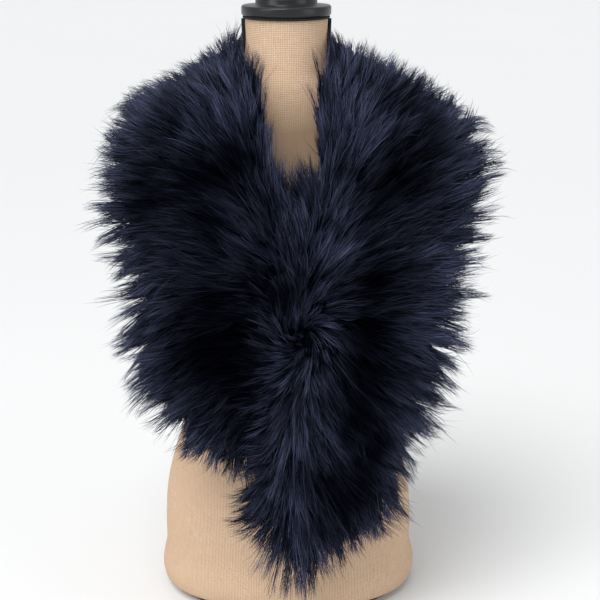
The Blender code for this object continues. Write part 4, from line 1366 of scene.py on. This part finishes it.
def pile_lights(pelt, growth, passes):
    """How much painted light each of a fibre's four points gets in its colour: more at the parting
    and at the outer edge, more on the hairs that lie on top, less under the painted shade of
    SHADES and more under their painted light."""
    u, s = growth.across, growth.places
    part = from_table(COMBING, pelt.station(s))
    inner, outer = pelt.backing_edges(s)
    outside = ramp((u - inner) / np.maximum(outer - inner, 1e-6), *LIT_RIM)
    ridge = LIGHT_LEAST + LIGHT_PART * np.exp(-((u - part) / PART_REACH) ** 2)
    on_top = np.clip(growth.level / FULL_LEVEL, *LEVEL_RANGE) ** LEVEL_POWER
    light = (ridge + LIGHT_RIM * outside) * on_top
    return {name: light * painted_shading(pelt, *place) for name, place in zip(LIGHTS, passes)}


def pile_paths(pelt, low, high, count, seed):
    """Each fibre's four points and its looks, gathered in wisps and tufts."""
    rng = np.random.default_rng(seed)
    wisp_count = count // HAIRS_A_WISP
    tuft_count = wisp_count // WISPS_A_TUFT
    (u, s), wisp_roots, tuft_roots = (
        scattered(pelt, low, high, number, rng) for number in (count, wisp_count, tuft_count)
    )
    root, wisp_root, tuft_root = (
        pelt.read(pelt.points, *place) for place in ((u, s), wisp_roots, tuft_roots)
    )
    tuft_of = nearest_of(wisp_root, tuft_root)
    wisp_of = nearest_of(root, wisp_root)

    tuft_growth = grow_tufts(*tuft_roots, rng, seed)
    wisp_growth, long = grow_wisps(pelt, *wisp_roots, tuft_growth, tuft_of, rng)
    stray = rng.random(count) < STRAY_SHARE
    aside = np.linalg.norm(root - wisp_root[wisp_of], axis=1) / WISP_REACH
    crest = np.clip(1 - aside * aside, 0, 1)
    growth = grow_hairs(u, s, wisp_growth, wisp_of, stray, crest, rng)
    tufts, _ = combed(pelt, tuft_growth)
    wisps, _ = combed(pelt, wisp_growth, long)
    hairs, passes = combed(pelt, growth, long[wisp_of])

    drawn = np.where(long, LONG_DRAWN, SHORT_DRAWN)
    drawn = drawn + RIM_DRAWN * ramp(wisp_growth.across, *RIM)
    wisps = wisps + drawn[:, None, None] * DRAW * (tufts[tuft_of] - wisps)
    loose = 1 - RIM_LOOSE * ramp(u, *LOOSE_RIM)
    gather = rng.uniform(*GATHER, wisp_count)[wisp_of]
    gather = loose * np.where(stray, STRAY_GATHER, gather)
    hairs = hairs + gather[:, None, None] * DRAW * (wisps[wisp_of] - hairs)
    hairs[:, 1:] += rng.normal(0, 1, (count, 3, 3)) * UNEVEN
    # Painted highlight: fibres on a wisp's crest are made lighter in colour; the spreads below are
    # tone that differs at random.
    tint = TINT + CREST_HIGHLIGHT * crest
    for number, of, spread in (
        (tuft_count, tuft_of[wisp_of], TINT_TUFT), (wisp_count, wisp_of, TINT_WISP),
        (count, slice(None), TINT_HAIR),
    ):
        tint = tint + spread * rng.normal(0, 1, number)[of]
    looks = {"tint": np.clip(tint, 0, 1), **pile_lights(pelt, growth, passes)}
    return within_reach(hairs, u), looks


def clear_of_form(paths, torso):
    """The paths, with the points that lie in the form or too close to it moved out of it."""
    points = paths.reshape(-1, 3)
    for index in range(len(points)):
        point = Vector(points[index])
        nearest, normal, _, _ = torso.find_nearest(point)
        short = HAIR_CLEARANCE - (point - nearest).dot(normal)
        if short > 0:
            points[index] += np.array(normal) * short
    return points.reshape(-1, 4, 3)


def nearest_normals(pelt, points):
    """The pelt's normals at the grid points nearest to these."""
    flat_points = pelt.points[::3, ::3].reshape(-1, 3)
    flat_normals = pelt.normals[::3, ::3].reshape(-1, 3)
    return flat_normals[nearest_of(points, flat_points)]


def store(mesh, values_by_name):
    """Numbers or vectors for all points of a mesh, under their names."""
    for name, values in values_by_name.items():
        kind, item = ("FLOAT", "value") if values.ndim == 1 else ("FLOAT_VECTOR", "vector")
        made = mesh.attributes.new(name, kind, "POINT")
        made.data.foreach_set(item, values.astype(np.float32).ravel())


def fibre_shape():
    """A flat fibre to repeat: pairs of points that narrow to its tip."""
    points = []
    for place, width in ((0.0, 1.0), (0.40, 0.92), (0.74, 0.62)):
        points += [(-width / 2, 0.0, place), (width / 2, 0.0, place)]
    points.append((0.0, 0.0, 1.0))
    mesh = bpy.data.meshes.new("fibre")
    mesh.from_pydata(points, [], [(0, 1, 3, 2), (2, 3, 5, 4), (4, 5, 6)])
    width, _, along = np.array(points).T
    store(mesh, {"along": along, "width": width})
    return new_object("fibre", mesh)


def pile_tree():
    """Sets a fibre on every root and bends it along the root's own four-point curve."""
    group = bpy.data.node_groups.new("fur_pile", "GeometryNodeTree")
    tree = Tree(group)
    for name, kind in (
        ("Roots", "Geometry"), ("Fibre", "Object"), ("Fibre width", "Float"),
        ("Width spread", "Float"), ("Seed", "Int"), ("Finish", "Material"),
    ):
        group.interface.new_socket(name, in_out="INPUT", socket_type="NodeSocket" + kind)
    group.interface.new_socket("Pile", in_out="OUTPUT", socket_type="NodeSocketGeometry")
    given = tree.node("NodeGroupInput").outputs

    def stored(name, kind="FLOAT_VECTOR"):
        return tree.term(
            "GeometryNodeInputNamedAttribute", {"data_type": kind}, {"Name": name},
            vector=kind == "FLOAT_VECTOR",
        )

    spread = Term(tree, given["Width spread"])
    girth = Term(tree, given["Fibre width"]) * tree.term(
        "FunctionNodeRandomValue", {"data_type": "FLOAT"},
        {2: 1.0 - spread, 3: 1.0 + spread, "Seed": given["Seed"]}, output=1,
    )
    sized = tree.node(
        "GeometryNodeStoreNamedAttribute", {"data_type": "FLOAT", "domain": "POINT"},
        {"Geometry": given["Roots"], "Name": "girth", "Value": girth},
    )
    fibre = tree.node("GeometryNodeObjectInfo", values={"Object": given["Fibre"]})
    placed = tree.node("GeometryNodeInstanceOnPoints", values={
        "Points": sized.outputs["Geometry"], "Instance": fibre.outputs["Geometry"],
    })
    real = tree.node("GeometryNodeRealizeInstances", values={"Geometry": placed.outputs[0]})
    t = stored("along", "FLOAT")
    rest = 1.0 - t
    curve = stored("root") * (rest * rest * rest)
    curve = curve + stored("lower") * (3.0 * rest * rest * t)
    curve = curve + stored("upper") * (3.0 * rest * t * t)
    curve = curve + stored("tip") * (t * t * t)
    sideways = stored("side") * (stored("width", "FLOAT") * stored("girth", "FLOAT"))
    bent = tree.node("GeometryNodeSetPosition", values={
        "Geometry": real.outputs[0], "Position": curve + sideways,
    })
    coloured = tree.node("GeometryNodeSetMaterial", values={
        "Geometry": bent.outputs[0], "Material": given["Finish"],
    })
    tree.node("NodeGroupOutput", values={0: coloured.outputs[0]})
    return group


def fibre_curves(paths, normals, seed):
    """What the tree reads at each root: the curve through a path's points, and which way the
    flat fibre is wide."""
    first, second, third, last = (paths[:, k] for k in range(4))
    ahead = unit(last - first)
    side = unit(np.cross(ahead, normals))
    facing = unit(np.cross(side, ahead))
    twist = np.random.default_rng(seed).normal(0, HAIR_TWIST, len(paths))[:, None]
    return {
        "root": first,
        "lower": (-5 * first + 18 * second - 9 * third + 2 * last) / 6,
        "upper": (2 * first - 9 * second + 18 * third - 5 * last) / 6,
        "tip": last,
        "side": side * np.cos(twist) + facing * np.sin(twist),
    }


def grown(name, paths, looks, normals, group, fibre, seed, material):
    """The pile's piece, made by the tree from the roots and then kept without it."""
    curves = fibre_curves(paths, normals, seed)
    mesh = bpy.data.meshes.new(name + "_roots")
    mesh.from_pydata([tuple(point) for point in paths[:, 0]], [], [])
    store(mesh, {**curves, **looks})
    roots = new_object(name + "_roots", mesh)
    modifier = roots.modifiers.new("pile", "NODES")
    modifier.node_group = group
    values = {
        "Fibre": fibre, "Fibre width": HAIR_WIDTH, "Width spread": HAIR_SPREAD,
        "Seed": seed, "Finish": material,
    }
    for socket in group.interface.items_tree:
        if socket.in_out == "INPUT" and socket.name in values:
            modifier[socket.identifier] = values[socket.name]
    bpy.context.view_layer.update()
    evaluated = roots.evaluated_get(bpy.context.evaluated_depsgraph_get())
    kept = bpy.data.meshes.new_from_object(evaluated)
    kept.name = name
    bpy.data.objects.remove(roots)
    for attribute in (*curves, "width", "girth"):
        if attribute in kept.attributes:
            kept.attributes.remove(kept.attributes[attribute])
    kept.shade_smooth()
    return new_object(name, kept)


# ---------------------------------------------------------------- the wrap
def make_pelts(track, torso):
    """The strip's three stretches, by the solids they stand for."""
    ends = (0.0, track.places[FIRST_SHOULDER], track.places[SECOND_SHOULDER], track.places[-1])
    under = surface_tree("fur_front_under")
    return {
        "fur_front_under": Pelt(track, ends[0], ends[1], torso),
        "fur_back_neck": Pelt(track, ends[1], ends[2], torso),
        "fur_front_over": Pelt(track, ends[2], ends[3], torso, under),
    }


def make_pile(track, pelts, torso):
    """All pieces of pile, in a list for each solid. Each has its share of the hairs by area."""
    spans = []
    for name, node, *stations in PILE_SPANS:
        low, high = pelts[node].span()
        first, last = np.interp(stations, range(len(track.places)), track.places)
        low, high = max(low, float(first)), min(high, float(last))
        spans.append((name, node, low, high, strip_area(pelts[node], low, high)[1]))
    whole = sum(span[-1] for span in spans)
    material, group, fibre = fur_finish(), pile_tree(), fibre_shape()
    piles = {node: [] for node in pelts}
    for number, (name, node, low, high, area) in enumerate(spans):
        pelt = pelts[node]
        count = int(HAIR_COUNT * area / whole)
        paths, looks = pile_paths(pelt, low, high, count, ROOTS_SEED + number)
        paths = clear_of_form(paths, torso)
        normals = nearest_normals(pelt, paths[:, 1])
        seed = FIBRES_SEED + number
        piles[node].append(grown(name, paths, looks, normals, group, fibre, seed, material))
    bpy.data.objects.remove(fibre)
    return piles


def make_wrap():
    track = strip_track()
    torso = surface_tree("form_torso")
    pelts = make_pelts(track, torso)
    pieces = make_pile(track, pelts, torso)
    undercoat, ground = undercoat_finish(), backing_finish()
    for number, (node, pelt) in enumerate(pelts.items()):
        stretch = node.replace("fur_", "")
        backing = make_backing("backing_" + stretch, pelt, ground)
        coat = make_undercoat("undercoat_" + stretch, pelt, UNDERCOAT_SEED + number, undercoat)
        piles = pieces[node]
        for piece in (backing, coat, *piles):
            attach(piece, "root")
            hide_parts(node)
        low, high = pelt.span()
        area, _ = strip_area(pelt, low, high)


# ---------------------------------------------------------------- the form
def make_form():
    torso = make_torso(burlap_finish())
    cap = make_cap(lacquer_finish())
    cords = make_pipings(piping_finish())
    for piece, node, slot in (
        (torso, "form_torso", "burlap"),
        (cap, "neck_cap", "black_lacquer"),
        *((piece, node, "black_piping") for node, piece in cords.items()),
    ):
        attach(piece, "root")
        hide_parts(node)
    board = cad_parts["base_board"]
    board.data.materials.clear()
    board.data.materials.append(board_finish())


# ---------------------------------------------------------------- studio
def make_stage():
    mesh = bpy.data.meshes.new("studio_floor")
    corners = ((-1, -1), (1, -1), (1, 1), (-1, 1))
    points = [(FLOOR_REACH * x, FLOOR_REACH * y, 0.0) for x, y in corners]
    mesh.from_pydata(points, [], [(0, 1, 2, 3)])
    new_piece("studio_floor", mesh, floor_finish())


def make_light():
    scene = bpy.context.scene
    scene.world = bpy.data.worlds.new("studio")
    scene.world.use_nodes = True
    background = scene.world.node_tree.nodes["Background"]
    background.inputs["Color"].default_value = (*SKY, 1.0)
    background.inputs["Strength"].default_value = SKY_STRENGTH
    for lamp in LAMPS:
        light = bpy.data.lights.new(lamp.name, lamp.kind)
        light.energy = lamp.energy
        setattr(light, "angle" if lamp.kind == "SUN" else "size", lamp.spread)
        stand = new_object(lamp.name, light)
        stand.location = lamp.place
        towards = Vector(LIT_PLACE) - Vector(lamp.place)
        stand.rotation_euler = towards.to_track_quat("-Z", "Y").to_euler()
    scene.view_settings.view_transform = "Standard"
    scene.view_settings.look = "None"


def make_camera():
    data = bpy.data.cameras.new("camera")
    data.sensor_width = CAMERA_SENSOR
    data.lens = CAMERA_LENS
    camera = new_object("camera", data)
    camera.location = CAMERA_PLACE
    camera.rotation_euler = (math.radians(90 - CAMERA_DIP), 0.0, 0.0)
    bpy.context.scene.camera = camera


make_camera()
make_light()
make_stage()
make_form()
make_wrap()
